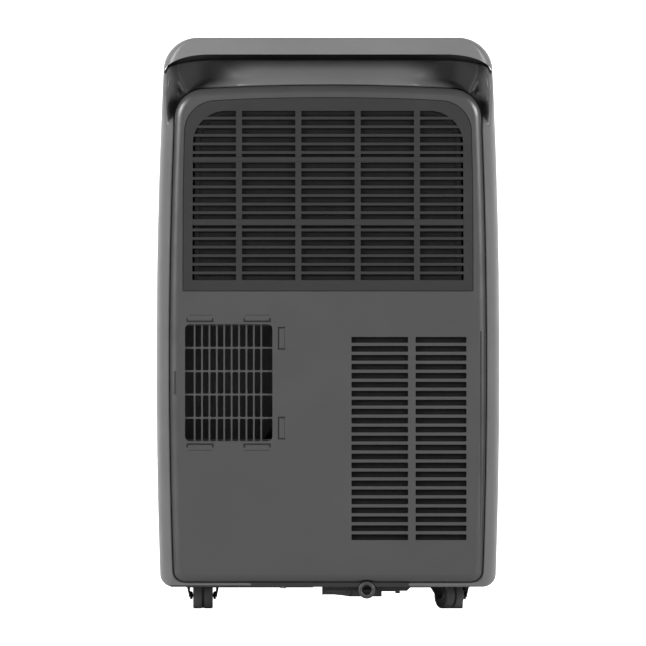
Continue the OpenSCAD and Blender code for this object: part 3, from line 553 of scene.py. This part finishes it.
def shell_line():
    """The casing's outline, with long elliptical shoulders at the top."""
    middle = (0.0, FLOOR_GAP)
    half = [middle]
    half += corner_arc(middle, (side_x(FLOOR_GAP), FLOOR_GAP), (side_x(90), 90), LOW_CORNER_R, 24)
    z0 = SHELL_TOP - CORNER_RISE
    half += [(side_x(z), z) for z in frange(50, z0 - 4, 8)]
    half += quarter(CORNER_X, z0, side_x(z0) - CORNER_X, CORNER_RISE, 2)
    half += [(0.0, SHELL_TOP)]
    return half + mirrored(half[1:-1])


def blend_max(a, b, soft):
    """The larger of two values, with a rounded change from one to the other."""
    return (a + b + math.sqrt((a - b) ** 2 + soft * soft) - soft) / 2


def dip(x, z):
    """Depth of the grip recess and of the sunken corners beside it."""
    a = abs(x)
    low = arch(min(a, 150), PANEL_TOP + 0.6)
    t = min(1.0, max(0.0, (z - low + 0.6) / (SHELL_TOP - low + 0.6)))
    slope = GRIP_DEPTH * t ** 1.4
    sunk = CORNER_DEPTH * ease((221 - a) / 19) * ease((z - CORNER_FROM_Z) / 56) * ease((a - 96) / 84)
    rim = low - 22 * (max(0.0, a - 150) / 40) ** 2
    pocket = POCKET_DEPTH * ease((a - 90) / 80) * ease((217 - a) / 17) * ease((z - rim) / 14)
    off_crest = abs(a - CREST_X - (z - CREST_Z) * CREST_LEAN)
    crest = CREST_RISE * ease(1 - off_crest / 8) * ease((z - CREST_Z + 8) / 12)
    return blend_max(slope, sunk, 6) + pocket - crest


def shell():
    """Rear part of the casing: its front edge, its side, the rounded rear and the lip at the panel."""
    outer = matched(shell_line())
    inner = matched(panel_outline(SEAM_GAP))
    normals = out_normals(outer)
    lip, lip_wall = 2.0, 8.5
    steps = 44
    front = [[] for _ in range(4)]
    rings = [[] for _ in range(steps + 1)]
    lips = [[] for _ in range(6)]
    inside_rows = [[] for _ in range(7)]
    for (xo, zo), (xi, zi), (nx, nz) in zip(outer, inner, normals):
        po, pi = Vector((xo, zo)), Vector((xi, zi))
        n = (po - pi).normalized()
        pl = pi + n * lip
        span = (po - pl).length
        w = nx * nx
        flat = 1.6 if nz > 0 else 3.0
        high = ease((po.y - 636) / 62)
        ax, ay = lerp(flat, lerp(30, 9, high), w), lerp(flat, lerp(42, 15, high), w)
        rest = round_in(span, ax, ay)

        def depth(f):
            p = po.lerp(pl, f)
            bead = 1.8 * w * (1 - high) * max(0.0, 1 - (1 - f) * span / 9) ** 2
            return SHELL_BACK_Y - dip(p.x, p.y) - round_in(f * span, ax, ay) + rest + bead

        out = Vector((nx, nz))
        for row, (inset, y) in zip(front, ((WALL, 0), (0.8, 0), (0.23, 0.23), (0, 0.8))):
            p = po - out * inset
            row.append((p.x, FRONT_SEAM_Y + y, p.y))
        for j, row in enumerate(rings):
            f = (j / steps) ** 2
            p = po.lerp(pl, f)
            row.append((p.x, depth(f), p.y))
        y1 = depth(1)
        for k, row in enumerate(lips[:4], 1):
            a = math.radians(22.5 * k)
            p = pi + n * lip * (1 - math.sin(a))
            row.append((p.x, y1 - lip * (1 - math.cos(a)), p.y))
        lips[4].append((pi.x, y1 - lip_wall, pi.y))
        p = pi + n * 2.4
        lips[5].append((p.x, y1 - lip_wall, p.y))
        for row, f in zip(inside_rows, (0.9, 0.7, 0.5, 0.34, 0.2, 0.1, 0.0)):
            p = po.lerp(pl, f) - out * WALL * (1 - f)
            row.append((p.x, depth(f) - 4.5, p.y))
    b = Builder()
    loops = b.rows(front + rings + lips + inside_rows)
    b.strip(loops[-1], loops[0])
    return b


def panel_outline(grow):
    low, high = PANEL_LOW - grow, PANEL_TOP - 6 + grow
    return outline(lambda z: side_x(z) - SEAM_INSET + grow, low, high, 16 + grow, 40 + grow,
                   lambda x: arch(x, PANEL_TOP + grow))


def door_outline(grow):
    """Door's edge, moved outwards by grow; each point is (x, z, radius)."""
    half = [(194.5 + grow, 425.5 - grow, 1.5), (194.2 + grow, 560, 0)]
    half += [(191.5 + grow, 678.6 + grow, 42 + grow)]
    top = [(x, arch(x, 684.7 + grow), 0) for x in range(120, -121, -20)]
    other = [(-x, z, r) for x, z, r in reversed(half)]
    return rounded(half + top + other, 16)


def bracket(x0, z0, x1, z1, t, side):
    """Outline of a thin groove round three sides of a clip's tongue."""
    a, b, c, d = x0 + t, x1 - t, z0 + t, z1 - t
    if side == "top":
        return [(x0, z0), (x1, z0), (x1, z1), (b, z1), (b, c), (a, c), (a, z1), (x0, z1)]
    if side == "low":
        return [(x0, z1), (x0, z0), (a, z0), (a, d), (b, d), (b, z0), (x1, z0), (x1, z1)]
    return [(x1, z0), (x1, z1), (x0, z1), (x0, d), (b, d), (b, c), (x0, c), (x0, z0)]


def clip_grooves():
    top, low = HOSE_Z + HOSE_H / 2 + 3.2, HOSE_Z - HOSE_H / 2 - 3.4 - 4.8
    out = []
    for x in (HOSE_X + 38.5, HOSE_X - 38):
        out.append(bracket(x - 18, top, x + 18, top + 4.8, 1.7, "top"))
        out.append(bracket(x - 18, low, x + 18, low + 4.8, 1.7, "low"))
    for z in (HOSE_Z - 60.8, HOSE_Z + 59.5):
        out.append(bracket(HOSE_X - 75.4, z - 15, HOSE_X - 66, z + 15, 1.6, "side"))
    return out


def clip_lines():
    """Hair lines that close the clips' outlines."""
    top, low = HOSE_Z + HOSE_H / 2 + 3.2, HOSE_Z - HOSE_H / 2 - 3.4
    out = []
    for x in (HOSE_X + 38.5, HOSE_X - 38):
        out += [box_outline(x - 16, z, x + 16, z + 0.1, 0) for z in (top + 9, low - 9)]
    for z in (HOSE_Z - 60.8, HOSE_Z + 59.5):
        out.append(box_outline(HOSE_X - 74.6, z - 12.4, HOSE_X - 74.5, z + 12.4, 0))
    return out


def panel():
    line = panel_outline(0)
    normals = out_normals(line)
    foot = [184 - 44 * ease((z - 618) / 40) * ease((abs(x) - 80) / 50) for x, z in line]
    rings = [[(x, y, z) for (x, z), y in zip(line, foot)]]
    steps = 16
    for k in range(steps + 1):
        a = math.pi / 2 * k / steps
        inset = RIM_W * (1 - math.cos(a) ** RIM_BEND)
        y = BACK_Y - RIM_D * (1 - math.sin(a) ** RIM_BEND)
        rings.append([(x - nx * inset, y, z - nz * inset) for (x, z), (nx, nz) in zip(line, normals)])
    b = Builder()
    loops = b.rows(rings)
    skin = BACK_Y - WALL
    under = b.loop([(x - nx * WALL, y, z - nz * WALL) for (x, z), (nx, nz), y in zip(line, normals, foot)])
    deep = b.loop([(x - nx * 3.2, 190, z - nz * 3.2) for (x, z), (nx, nz) in zip(line, normals)])
    roof = b.loop([(x - nx * 9, skin, z - nz * 9) for (x, z), (nx, nz) in zip(line, normals)])
    b.strip(loops[0], under)
    b.strip(under, deep)
    b.strip(deep, roof)
    half_w, half_h = HOSE_W / 2, HOSE_H / 2
    holes = [door_outline(0.4),
             box_outline(HOSE_X - half_w, HOSE_Z - half_h, HOSE_X + half_w, HOSE_Z + half_h, 6, 6)]
    holes += clip_grooves() + clip_lines()
    for row in range(LOWER_ROWS):
        for x0, x1 in LOWER_COLUMNS:
            z = LOWER_FIRST_Z - row * LOWER_PITCH
            holes.append(box_outline(x0, z, x1, z + SLOT_H, 0.9, 2))
    front, back = [loops[-1]], [roof]
    edge = 0.35
    for h in holes:
        a = b.loop(at_y(grown(h, edge), BACK_Y))
        c = b.loop(at_y(h, BACK_Y - edge))
        e = b.loop(at_y(h, skin))
        b.strip(a, c, False)
        b.strip(c, e, False)
        front.append(a)
        back.append(e)
    b.cap(front)
    b.cap(back)
    # Ledge that the door lies on
    opening = rounded([(185.5, 434, 2), (185.5, 676, 46), (-185.5, 676, 46), (-185.5, 434, 2)], 12)
    plate(b, door_outline(4), [opening], 189.5, 193.3, 0.2)
    # Floors of the clip grooves
    for g in clip_grooves():
        xs, zs = [p[0] for p in g], [p[1] for p in g]
        floor_line = box_outline(min(xs) + 0.4, min(zs) + 0.4, max(xs) - 0.4, max(zs) - 0.4, 0.5)
        plate(b, floor_line, [], 192.6, GROOVE_FLOOR_Y, 0.1)
    return b


def slot_side(z):
    """Half width of the slotted area of the door at height z."""
    if z <= 622:
        return lerp(181.8, 181.1, (z - 440.3) / 182)
    return 136.1 + math.sqrt(max(0.0, 45.0 ** 2 - (z - 622) ** 2))


def door():
    b = Builder()
    holes = []
    last = UPPER_COLUMNS - 1
    for row in range(UPPER_ROWS):
        low = UPPER_FIRST_Z - row * SLOT_PITCH
        spans = [(low, low + SLOT_H)]
        for c0, c1 in CROSS_BARS:
            parts = [s for z0, z1 in spans for s in ((z0, min(z1, c0)), (max(z0, c1), z1))]
            spans = [s for s in parts if s[1] - s[0] > 0.5]
        for z0, z1 in spans:
            zs = [z0 + (z1 - z0) * k / 4 for k in range(5)]
            for col in range(UPPER_COLUMNS):
                x0 = -1e3 if col == 0 else (col - 2.5) * COLUMN_PITCH + BAR_HALF
                x1 = 1e3 if col == last else (col - 1.5) * COLUMN_PITCH - BAR_HALF
                right = [(min(x1, slot_side(z)), z) for z in (zs if col == last else (z0, z1))]
                left = [(max(x0, -slot_side(z)), z) for z in reversed(zs if col == 0 else (z0, z1))]
                holes.append(right + left)
    plate(b, door_outline(0), holes, DOOR_BACK_Y, DOOR_FACE_Y, 0.4, 0.35)
    for c0, c1 in CROSS_BARS:
        z = (c0 + c1) / 2
        w = slot_side(z) - 0.2
        plate(b, box_outline(-w, c0 + 0.05, w, c1 - 0.05, 0.5), [], 195.9, BACK_Y, 0.45)
    for s in (-1, 1):
        pin = [(185, 0.02), (185, HINGE_R), (199, HINGE_R), (199.5, 1.0), (199.5, 0.02)]
        lathe(b, [(x * s, r) for x, r in pin], (0, HINGE_Y, HINGE_Z), "x", 20)
    return b


def exhaust_grid():
    """Crossed bars over the hose outlet, with larger radii in its four corners."""
    b = Builder()
    x0, x1 = HOSE_X - HOSE_W / 2, HOSE_X + HOSE_W / 2
    z0, z1 = HOSE_Z - HOSE_H / 2, HOSE_Z + HOSE_H / 2
    xs, zs = [x0], [z0]
    for i in range(10):
        x = HOSE_X + 1.1 + (i - 4.5) * 9.92
        xs += [x - 1.15, x + 1.15]
    for i in range(4):
        z = HOSE_Z - 0.2 + (i - 1.5) * 31.3
        zs += [z - 1.3, z + 1.3]
    xs.append(x1)
    zs.append(z1)
    holes = []
    for a, e in zip(xs[::2], xs[1::2]):
        for c, f in zip(zs[::2], zs[1::2]):
            corners = [(e, c), (e, f), (a, f), (a, c)]
            radii = [4 if x in (x0, x1) and z in (z0, z1) else 1.6 for x, z in corners]
            holes.append(rounded([(x, z, r) for (x, z), r in zip(corners, radii)], 3))
    plate(b, box_outline(x0 - 2.5, z0 - 2.5, x1 + 2.5, z1 + 2.5, 6, 4), holes, 189, 193.9, 0.2, 0.3)
    return b


def cover():
    """Cap with a plain band all round and pointed skirts at the sides."""
    low = (side_x(COVER_LOW), COVER_LOW)
    outer = [low] + corner_arc(low, (side_x(COVER_TOP), COVER_TOP), (0, COVER_TOP), 45, 28)
    count = 16
    outer += [(lerp(outer[-1][0], 0, k / count), COVER_TOP) for k in range(1, count + 1)]
    n = len(outer)
    normals = []
    for k in range(n):
        a, c = Vector(outer[max(0, k - 1)]), Vector(outer[min(n - 1, k + 1)])
        e = (c - a).normalized()
        normals.append((e.y, -e.x))
    normals[0] = (1.0, 0.0)
    normals[-1] = (0.0, 1.0)

    def section(y, side_in, edge_in):
        pts = []
        for (x, z), (nx, nz) in zip(outer, normals):
            pts.append((x - nx * side_in, y, z - max(0, nz) * edge_in))
        return pts + [(-x, yy, z) for x, yy, z in reversed(pts[:-1])]

    def end(y, way, side_r, edge_r, depths):
        insets = [(d, round_in(d, side_r, side_r), round_in(d, edge_r, edge_r)) for d in depths]
        return [section(y + way * d, side_in, edge_in) for d, side_in, edge_in in insets]

    back = end(BACK_Y, -1, 18.0, 2.2, (0.0, 0.15, 0.5, 1.0, 1.6, 2.2, 3.4, 5, 7, 9.5, 12.5, 15.5, 18))
    front = end(FRONT_Y, 1, 48.0, 5.0, (0.0, 0.3, 1.0, 2.0, 3.2, 5.0, 8, 12, 17, 23, 30, 38, 48))
    b = Builder()
    loops = b.rows(back + list(reversed(front)))
    b.face(loops[0])
    b.face(loops[-1])
    return b


def cover_underside():
    """What is missing below the cap, all the way from back to front."""
    low = COVER_LOW - 0.2
    wide = side_x(COVER_LOW) - 1.2 - CORNER_X
    half = quarter(CORNER_X, low, wide, COVER_LIP_Z - low, 3)
    half = [(half[0][0], COVER_LOW - 9)] + half
    return block_cutter(half + mirrored(half), "y", FRONT_Y - 5, BACK_Y + 5)


def cover_neck():
    """Band that closes the gap between the shell's shoulders and the cap, well in from the back; painted a
    darker grey than the cap, as painted shade in that gap.
    """
    wide = side_x(COVER_LOW) - 2.6 - CORNER_X
    top = quarter(CORNER_X, COVER_LOW + 1.2, wide, 24.5, 3)
    low = SHELL_TOP - CORNER_RISE - 5
    under = []
    for x, _ in top:
        t = max(0.0, (x - CORNER_X) / (wide + 2))
        under.append((x, low + CORNER_RISE * math.sqrt(max(0.0, 1 - t * t))))
    line = top + mirrored(top) + [(-x, z) for x, z in under] + list(reversed(under))
    return block_cutter(line, "y", -182, NECK_REAR_Y)


def front_panel():
    """Bowl over the front of the casing, with an opening for the air outlet."""
    outer = matched(shell_line())
    top = SHELL_TOP - 12
    inner = matched(outline(lambda z: side_x(z) - 44, FLOOR_GAP + 12, top, 14, 26, lambda x: top))
    normals = out_normals(outer)
    steps = 26
    start = [[] for _ in range(3)]
    rings = [[] for _ in range(steps + 1)]
    inside_rows = [[] for _ in range(5)]
    y0 = FRONT_SEAM_Y - 0.6
    for (xo, zo), (xi, zi), (nx, nz) in zip(outer, inner, normals):
        po, pi = Vector((xo, zo)), Vector((xi, zi))
        out = Vector((nx, nz))
        ay = lerp(12.0, 44.0, nx * nx)
        for row, (inset, dy) in zip(start, ((0.8, 0), (0.23, 0.23), (0, 0.8))):
            p = po - out * inset
            row.append((p.x, y0 - dy, p.y))
        for j, row in enumerate(rings):
            a = math.pi / 2 * j / steps
            p = po.lerp(pi, 1 - math.cos(a))
            row.append((p.x, FRONT_Y + ay * (1 - math.sin(a)), p.y))
        for row, j in zip(inside_rows, (1.0, 0.75, 0.5, 0.25, 0.0)):
            a = math.pi / 2 * j
            p = po.lerp(pi, 1 - math.cos(a)) - out * 3 * (1 - j)
            y = FRONT_Y + 3 + ay * (1 - math.sin(a)) - 3 * (1 - j) * 0.5
            row.append((p.x, min(y, y0 - 1), p.y))
    b = Builder()
    loops = b.rows(start + rings)
    deep = b.rows(inside_rows)
    last = b.loop([(x, y0, z) for x, _, z in inside_rows[-1]])
    b.strip(deep[-1], last)
    b.strip(last, loops[0])
    hole = box_outline(-166, 588, 166, 692, 4, 5)
    e = 0.6
    a = b.loop(at_y(grown(hole, e), FRONT_Y))
    c = b.loop(at_y(hole, FRONT_Y + e))
    d = b.loop(at_y(hole, FRONT_Y + 3))
    b.strip(a, c, False)
    b.strip(c, d, False)
    b.cap([loops[-1], a])
    b.cap([deep[0], d])
    return b


def cylinder_cutter(x, z, y0, y1, r):
    b = Builder()
    lathe(b, [(y0, r), (y1, r)], (x, 0, z), "y", 48, smooth=False)
    return b


def block_cutter(points, y_or_z, lo, hi):
    b = Builder()
    rings = []
    for v in (lo, hi):
        rings.append([(x, v, w) if y_or_z == "y" else (x, w, v) for x, w in points])
    loops = b.rows(rings, False)
    b.face(loops[0])
    b.face(loops[-1])
    return b


def cut(obj, *builders):
    """Takes solids away from a piece."""
    tools = []
    for tool in builders:
        mesh = bpy.data.meshes.new("cutter")
        mesh.from_pydata([(x * MM, y * MM, z * MM) for x, y, z in tool.verts], [], tool.faces)
        o = bpy.data.objects.new("cutter", mesh)
        bpy.context.scene.collection.objects.link(o)
        bm = bmesh.new()
        bm.from_mesh(mesh)
        bmesh.ops.recalc_face_normals(bm, faces=bm.faces)
        bm.to_mesh(mesh)
        bm.free()
        mod = obj.modifiers.new("cut", "BOOLEAN")
        mod.object = o
        mod.operation = "DIFFERENCE"
        mod.solver = "EXACT"
        tools.append(o)
    bpy.context.view_layer.update()
    shape = bpy.data.meshes.new_from_object(obj.evaluated_get(bpy.context.evaluated_depsgraph_get()))
    obj.modifiers.clear()
    material = obj.data.materials[0]
    obj.data = shape
    shape.materials.clear()
    shape.materials.append(material)
    for o in tools:
        bpy.data.objects.remove(o)
    return obj


def sharpen(obj, degrees=35):
    """Marks edges steeper than the angle, so that smooth faces meet them crisply."""
    bm = bmesh.new()
    bm.from_mesh(obj.data)
    limit = math.radians(degrees)
    for e in bm.edges:
        e.smooth = len(e.link_faces) == 2 and e.calc_face_angle(0) < limit
    bm.to_mesh(obj.data)
    bm.free()
    return obj


def piece(b, name, slot, node=None, body="casing", paint=None):
    """Finished piece in its slot's own material, unless another paint is named."""
    return b.build(name, M[paint or slot], body, slot, [node] if node else ())


shell_obj = piece(shell(), "Casing_shell", "shell_plastic", "body_shell")
cut(shell_obj, cylinder_cutter(DRAIN_X, DRAIN_Z, 170, 200, PORT_ROOM_R))
sharpen(shell_obj, 40)

# The panel's cutters: room for the port, the seen end of the filter's slot, the slot itself, the latch's slit
panel_obj = piece(panel(), "Rear_panel", "panel_plastic", "rear_panel")
cut(panel_obj, cylinder_cutter(DRAIN_X, DRAIN_Z, 170, 205, PORT_ROOM_R),
    block_cutter([(-205.8, 195), (-203.9, 195), (-203.9, 205), (-205.8, 205)], "z", *FILTER_SLOT_Z),
    block_cutter([(-215, 190.8), (-203, 190.8), (-203, 193.6), (-215, 193.6)], "z", *FILTER_SLOT_Z),
    block_cutter([(203.4, 195), (206, 195), (206, 205), (203.4, 205)], "z", *LATCH_Z))
sharpen(panel_obj, 40)

sharpen(piece(door(), "Grille_door", "grille_plastic", "upper_grille", "grille_door"), 40)
sharpen(piece(exhaust_grid(), "Hose_outlet_grid", "panel_plastic", "exhaust_grid"), 40)

# The neck takes a darker grey than the cap's own plastic: painted shade for the gap under the cap.
piece(cover_neck(), "Cover_neck", "cover_plastic", paint="port_plastic")
cover_obj = piece(cover(), "Top_cover", "cover_plastic", "top_cover")
fascia_room = block_cutter(box_outline(-130, -165, 130, -95, 8, 8), "z", 758, 770)
cut(cover_obj, cover_underside(), fascia_room)
sharpen(cover_obj, 38)

sharpen(piece(front_panel(), "Front_panel", "front_plastic", "front_panel"), 40)


# ------------------------------------------------------------------ casters

def side_plate(b, outer, x0, x1, bevel=0.3):
    """Flat plate across X; the outline is given in Y and Z."""
    mid = [(-y, z) for y, z in outer]
    rings = []
    for x, inset in ((x0, bevel), (x0 + bevel, 0), (x1 - bevel, 0), (x1, bevel)):
        rings.append([(x, -u, z) for u, z in grown(mid, -inset)])
    loops = b.rows(rings, False)
    b.face(loops[0])
    b.face(loops[-1])


def placed(b, turn, x, y):
    """Turns a caster's piece about its stem and puts it in its place."""
    m = Matrix.Translation((x, y, 0)) @ Matrix.Rotation(math.radians(turn), 4, "Z")
    b.verts[:] = [tuple(m @ Vector(v)) for v in b.verts]
    return b


def caster_hood():
    """Two cheeks with bosses, the web between the wheels, the roof, the stem and the axle."""
    b = Builder()
    cheek = rounded([(8, 39.5, 1), (-27, 39.5, 1), (-25.5, 29, 4), (-13, 15.2, 2.5), (-7.5, 15.2, 2.5),
                     (3.5, 27, 5)], 4)
    boss = [(13.7, 0.1), (13.7, 4.4), (14.2, 5.0), (17.4, 5.8), (17.4, 0.1)]
    for side in (-1, 1):
        rings = []
        for x, inset in ((17.2, 0.3), (17.5, 0.0), (20.4, 0.0), (21.0, 0.6)):
            ring = []
            for y, z in grown(cheek, -inset):
                lean = 2.6 * ease((22 - z) / 7) if x > 19 else 0.0
                ring.append(((x - lean) * side, y, z))
            rings.append(ring)
        loops = b.rows(rings, False)
        b.face(loops[0])
        b.face(loops[-1])
        lathe(b, [(x * side, r) for x, r in boss], (0, AXLE_Y, AXLE_Z), "x", 28)
    web = [(7.0, 39.5), (-27.0, 39.5)]
    web += [polar(g, WEB_R, (AXLE_Y, AXLE_Z)) for g in range(180, 361, 6)]
    side_plate(b, web, -WEB_T, WEB_T, 0)
    roof = rounded([(-21, -27, 3), (21, -27, 3), (21, 8, 3), (-21, 8, 3)], 5)
    loops = b.rows([[(x, y, z) for x, y in (grown(roof, -0.6) if k in (0, 3) else roof)]
                    for k, z in enumerate((38.5, 39.1, 41.0, 41.6))], False)
    b.face(loops[0])
    b.face(loops[-1])
    stem = [(38.5, 0.1), (38.5, 9.0), (50, 9.0), (52.4, 8.0), (52.4, 5.5), (79, 5.4), (79, 0.1)]
    lathe(b, stem, (0, 0, 0), "z", 32)
    lathe(b, [(-19, 0.1), (-19, 2.5), (19, 2.5), (19, 0.1)], (0, AXLE_Y, AXLE_Z), "x", 20)
    return b


def caster_wheel(side):
    """One tread with rounded shoulders and a dished hub; the outer face is on the given side."""
    b = Builder()
    profile = [(WHEEL_IN, 3.0), (WHEEL_IN, 17.7), (WHEEL_IN + 0.2, WHEEL_R), (11.6, WHEEL_R), (12.4, 17.7),
               (13.1, 16.9), (13.3, 15.6), (13.0, 15.0), (11.6, 14.4), (11.4, 13.6), (11.4, 7.2), (11.8, 6.5),
               (12.9, 6.1), (13.3, 5.4), (13.3, 3.0)]
    lathe(b, [(u * side, r) for u, r in profile], (0, AXLE_Y, AXLE_Z), "x", 56)
    rib = ((6.3, -0.7), (14.6, -0.7), (14.6, 0.7), (6.3, 0.7))
    for k in range(6):
        c, n = polar(60 * k + 12)
        line = [(AXLE_Y + c * r + n * w, AXLE_Z + n * r - c * w) for r, w in rib]
        side_plate(b, line, min(11.2 * side, 12.5 * side), max(11.2 * side, 12.5 * side), 0.15)
    return b


for number, (cx, cy, turn) in enumerate(CASTERS, 1):
    body = "caster_%d" % number
    node = body + "_hood"
    hood = placed(caster_hood(), turn, cx, cy)
    sharpen(piece(hood, node.capitalize(), "caster_plastic", node, body), 40)
    for letter, side in (("a", -1), ("b", 1)):
        node = "%s_wheel_%s" % (body, letter)
        wheel = placed(caster_wheel(side), turn, cx, cy)
        sharpen(piece(wheel, node.capitalize(), "wheel_plastic", node, node), 30)


# ------------------------------------------------------------------ base and drain


def base_skirt():
    """Dark lower edge of the base that shows under the shell, taller beside the drain."""
    b = Builder()
    line = [(103, 28.9), (103, 35.0), (-108, 35.0), (-108, 29.6), (-111, 28.9)]
    plate(b, list(reversed(line)), [], 187.6, 190.7, 0.3)
    plate(b, [(211, 28.9), (211, 31.0), (103.2, 31.0), (103.2, 28.9)][::-1], [], 187.6, 190.4, 0.2)
    return b


def drain_housing():
    """Shallow box under the tray that the port stands out of."""
    b = Builder()
    body = [(8, 30.5), (8, 18.6), (-8, 18.6), (-20, 17.4), (-28.5, 16), (-72, 16), (-72, 22.9)]
    body += [(-90, 22.9), (-90, 20.3), (-96.5, 20.3), (-96.5, 23.6), (-106, 23.6), (-111, 28.8)]
    body += [(-111, 30.5)]
    plate(b, body[::-1], [], 150, 183.9, 0.5)
    return b


def drain_ribs():
    """Upright ribs and low pads on the rear face of the drain housing."""
    b = Builder()
    for x, low in ((7, 18.4), (-28.5, 16.0), (-71, 16.0)):
        plate(b, box_outline(x - 0.9, low, x + 0.9, 28.8, 0.3, 2), [], 184, 186, 0.25)
    plate(b, box_outline(-66, 19.5, -33, 25.5, 1.0, 3), [], 184, 184.8, 0.3)
    plate(b, box_outline(-24, 21.5, 2, 25.5, 1.0, 3), [], 184, 184.8, 0.3)
    return b


def drain_port():
    """Short spout with a rounded flange and a deep bore that ends at the tray's wall."""
    b = Builder()
    tube = [(160.5, 0.05), (160.5, 9.0), (184.4, 9.0)]
    flange = [(184.8, 10.6), (186.2, 11.7), (190.6, 11.7), (192.6, 11.2), (193.7, 10.0), (194.0, 8.8)]
    bore = [(193.7, 7.6), (192.8, 6.6), (191.5, 6.15), (163, 6.15), (163, 0.05)]
    lathe(b, tube + flange + bore, (DRAIN_X, 0, DRAIN_Z), "y", 56)
    return b


def base():
    """Tray under everything, with a round room over each caster and four ribs below."""
    b = Builder()
    half = side_x(FLOOR_GAP) - WALL - 0.4
    front, rear = FRONT_Y + 6, 184
    line = rounded([(half, front, 46), (half, rear, 34), (-half, rear, 34), (-half, front, 46)], 12)
    walls = b.rows([[(x * (half - i) / half, y, z) for x, y in line] for z, i in TRAY_SIDE], False)
    low, high = [walls[-1]], [walls[0]]
    for cx, cy, _ in CASTERS:
        ring = circle((cx, cy), CASTER_ROOM_R, 40)
        lip = b.loop([(x, y, TRAY_SIDE[-1][0]) for x, y in ring])
        top = b.loop([(x, y, 53.0) for x, y in ring])
        b.strip(lip, top)
        b.face(top)
        low.append(lip)
    b.cap(low, (0, 1))
    b.cap(high, (0, 1))
    for y in (-60, -20, 20, 60):
        for x0, x1 in ((-190, -20), (20, 190)):
            ring = [(x0, y - 1.2), (x1, y - 1.2), (x1, y + 1.2), (x0, y + 1.2)]
            loops = b.rows([[(x, v, z) for x, v in ring] for z in (29.3, 28.0)], False)
            b.face(loops[0])
            b.face(loops[-1])
    return b


sharpen(piece(base(), "Base_tray", "base_plastic", "base_pan"), 30)
skirt = piece(base_skirt(), "Base_skirt", "base_plastic")
housing = piece(drain_housing(), "Drain_housing", "base_plastic", "drain_housing")
piece(drain_ribs(), "Drain_ribs", "base_plastic")
sharpen(piece(drain_port(), "Drain_port", "port_plastic", "drain_port"), 50)
for obj, room in ((skirt, 12.2), (housing, 9.3)):
    cut(obj, cylinder_cutter(DRAIN_X, DRAIN_Z, 160.2, 200, room))
    sharpen(obj, 30)


# ------------------------------------------------------------------ light and camera

def area_light(name, place, target, size, power):
    data = bpy.data.lights.new(name, "AREA")
    data.shape = "RECTANGLE"
    data.size = size
    data.size_y = size
    data.energy = power
    obj = bpy.data.objects.new(name, data)
    bpy.context.scene.collection.objects.link(obj)
    obj.location = place
    obj.rotation_mode = "QUATERNION"
    obj.rotation_quaternion = (Vector(target) - Vector(place)).to_track_quat("-Z", "Y")
    return obj


world = bpy.data.worlds.new("Studio")
bpy.context.scene.world = world
world.use_nodes = True
background = world.node_tree.nodes["Background"]
background.inputs["Color"].default_value = (1, 1, 1, 1)
background.inputs["Strength"].default_value = 0.2


def stage_plane(name, corners):
    mesh = bpy.data.meshes.new(name)
    mesh.from_pydata(corners, [], [(0, 1, 2, 3)])
    obj = bpy.data.objects.new(name, mesh)
    bpy.context.scene.collection.objects.link(obj)
    return obj


floor = stage_plane("Floor", [(-6, -3.4, 0), (6, -3.4, 0), (6, 6, 0), (-6, 6, 0)])
floor_mat, floor_tree, floor_bsdf, floor_coord = new_material("floor_pale")
floor_cloud = noise(floor_tree, floor_coord, 2.0)
floor_tone = two_tone(floor_tree, floor_cloud, (0.80, 0.80, 0.80, 1), (0.84, 0.84, 0.84, 1))
floor_tree.links.new(floor_tone, floor_bsdf.inputs["Base Color"])
floor_bsdf.inputs["Roughness"].default_value = 0.7
floor.data.materials.append(floor_mat)

backdrop = stage_plane("Backdrop", [(-7, -3.5, -4), (7, -3.5, -4), (7, -3.5, 5), (-7, -3.5, 5)])
lit = bpy.data.materials.new("backdrop_lit")
lit.use_nodes = True
lit_bsdf = lit.node_tree.nodes["Principled BSDF"]
lit_bsdf.inputs["Base Color"].default_value = (0.9, 0.9, 0.9, 1)
lit_bsdf.inputs["Emission Color"].default_value = (1, 1, 1, 1)
lit_bsdf.inputs["Emission Strength"].default_value = 1.0
backdrop.data.materials.append(lit)

area_light("Left_soft", (2.6, 1.65, 1.6), (0, 0, 0.4), 1.2, 124)
area_light("Right_soft", (-2.6, 1.65, 1.5), (0, 0, 0.4), 1.2, 102)
area_light("Front_soft", (0, 3.1, 0.6), (0, 0, 0.38), 4.0, 31)

cam_data = bpy.data.cameras.new("Camera")
camera = bpy.data.objects.new("Camera", cam_data)
bpy.context.scene.collection.objects.link(camera)
cam_data.type = "ORTHO"
cam_data.ortho_scale = 0.8656
camera.location = (0.0067, 3.0, 0.3826)
camera.rotation_euler = (math.radians(90), 0, math.radians(180))
bpy.context.scene.camera = camera
bpy.context.scene.view_settings.view_transform = "Standard"
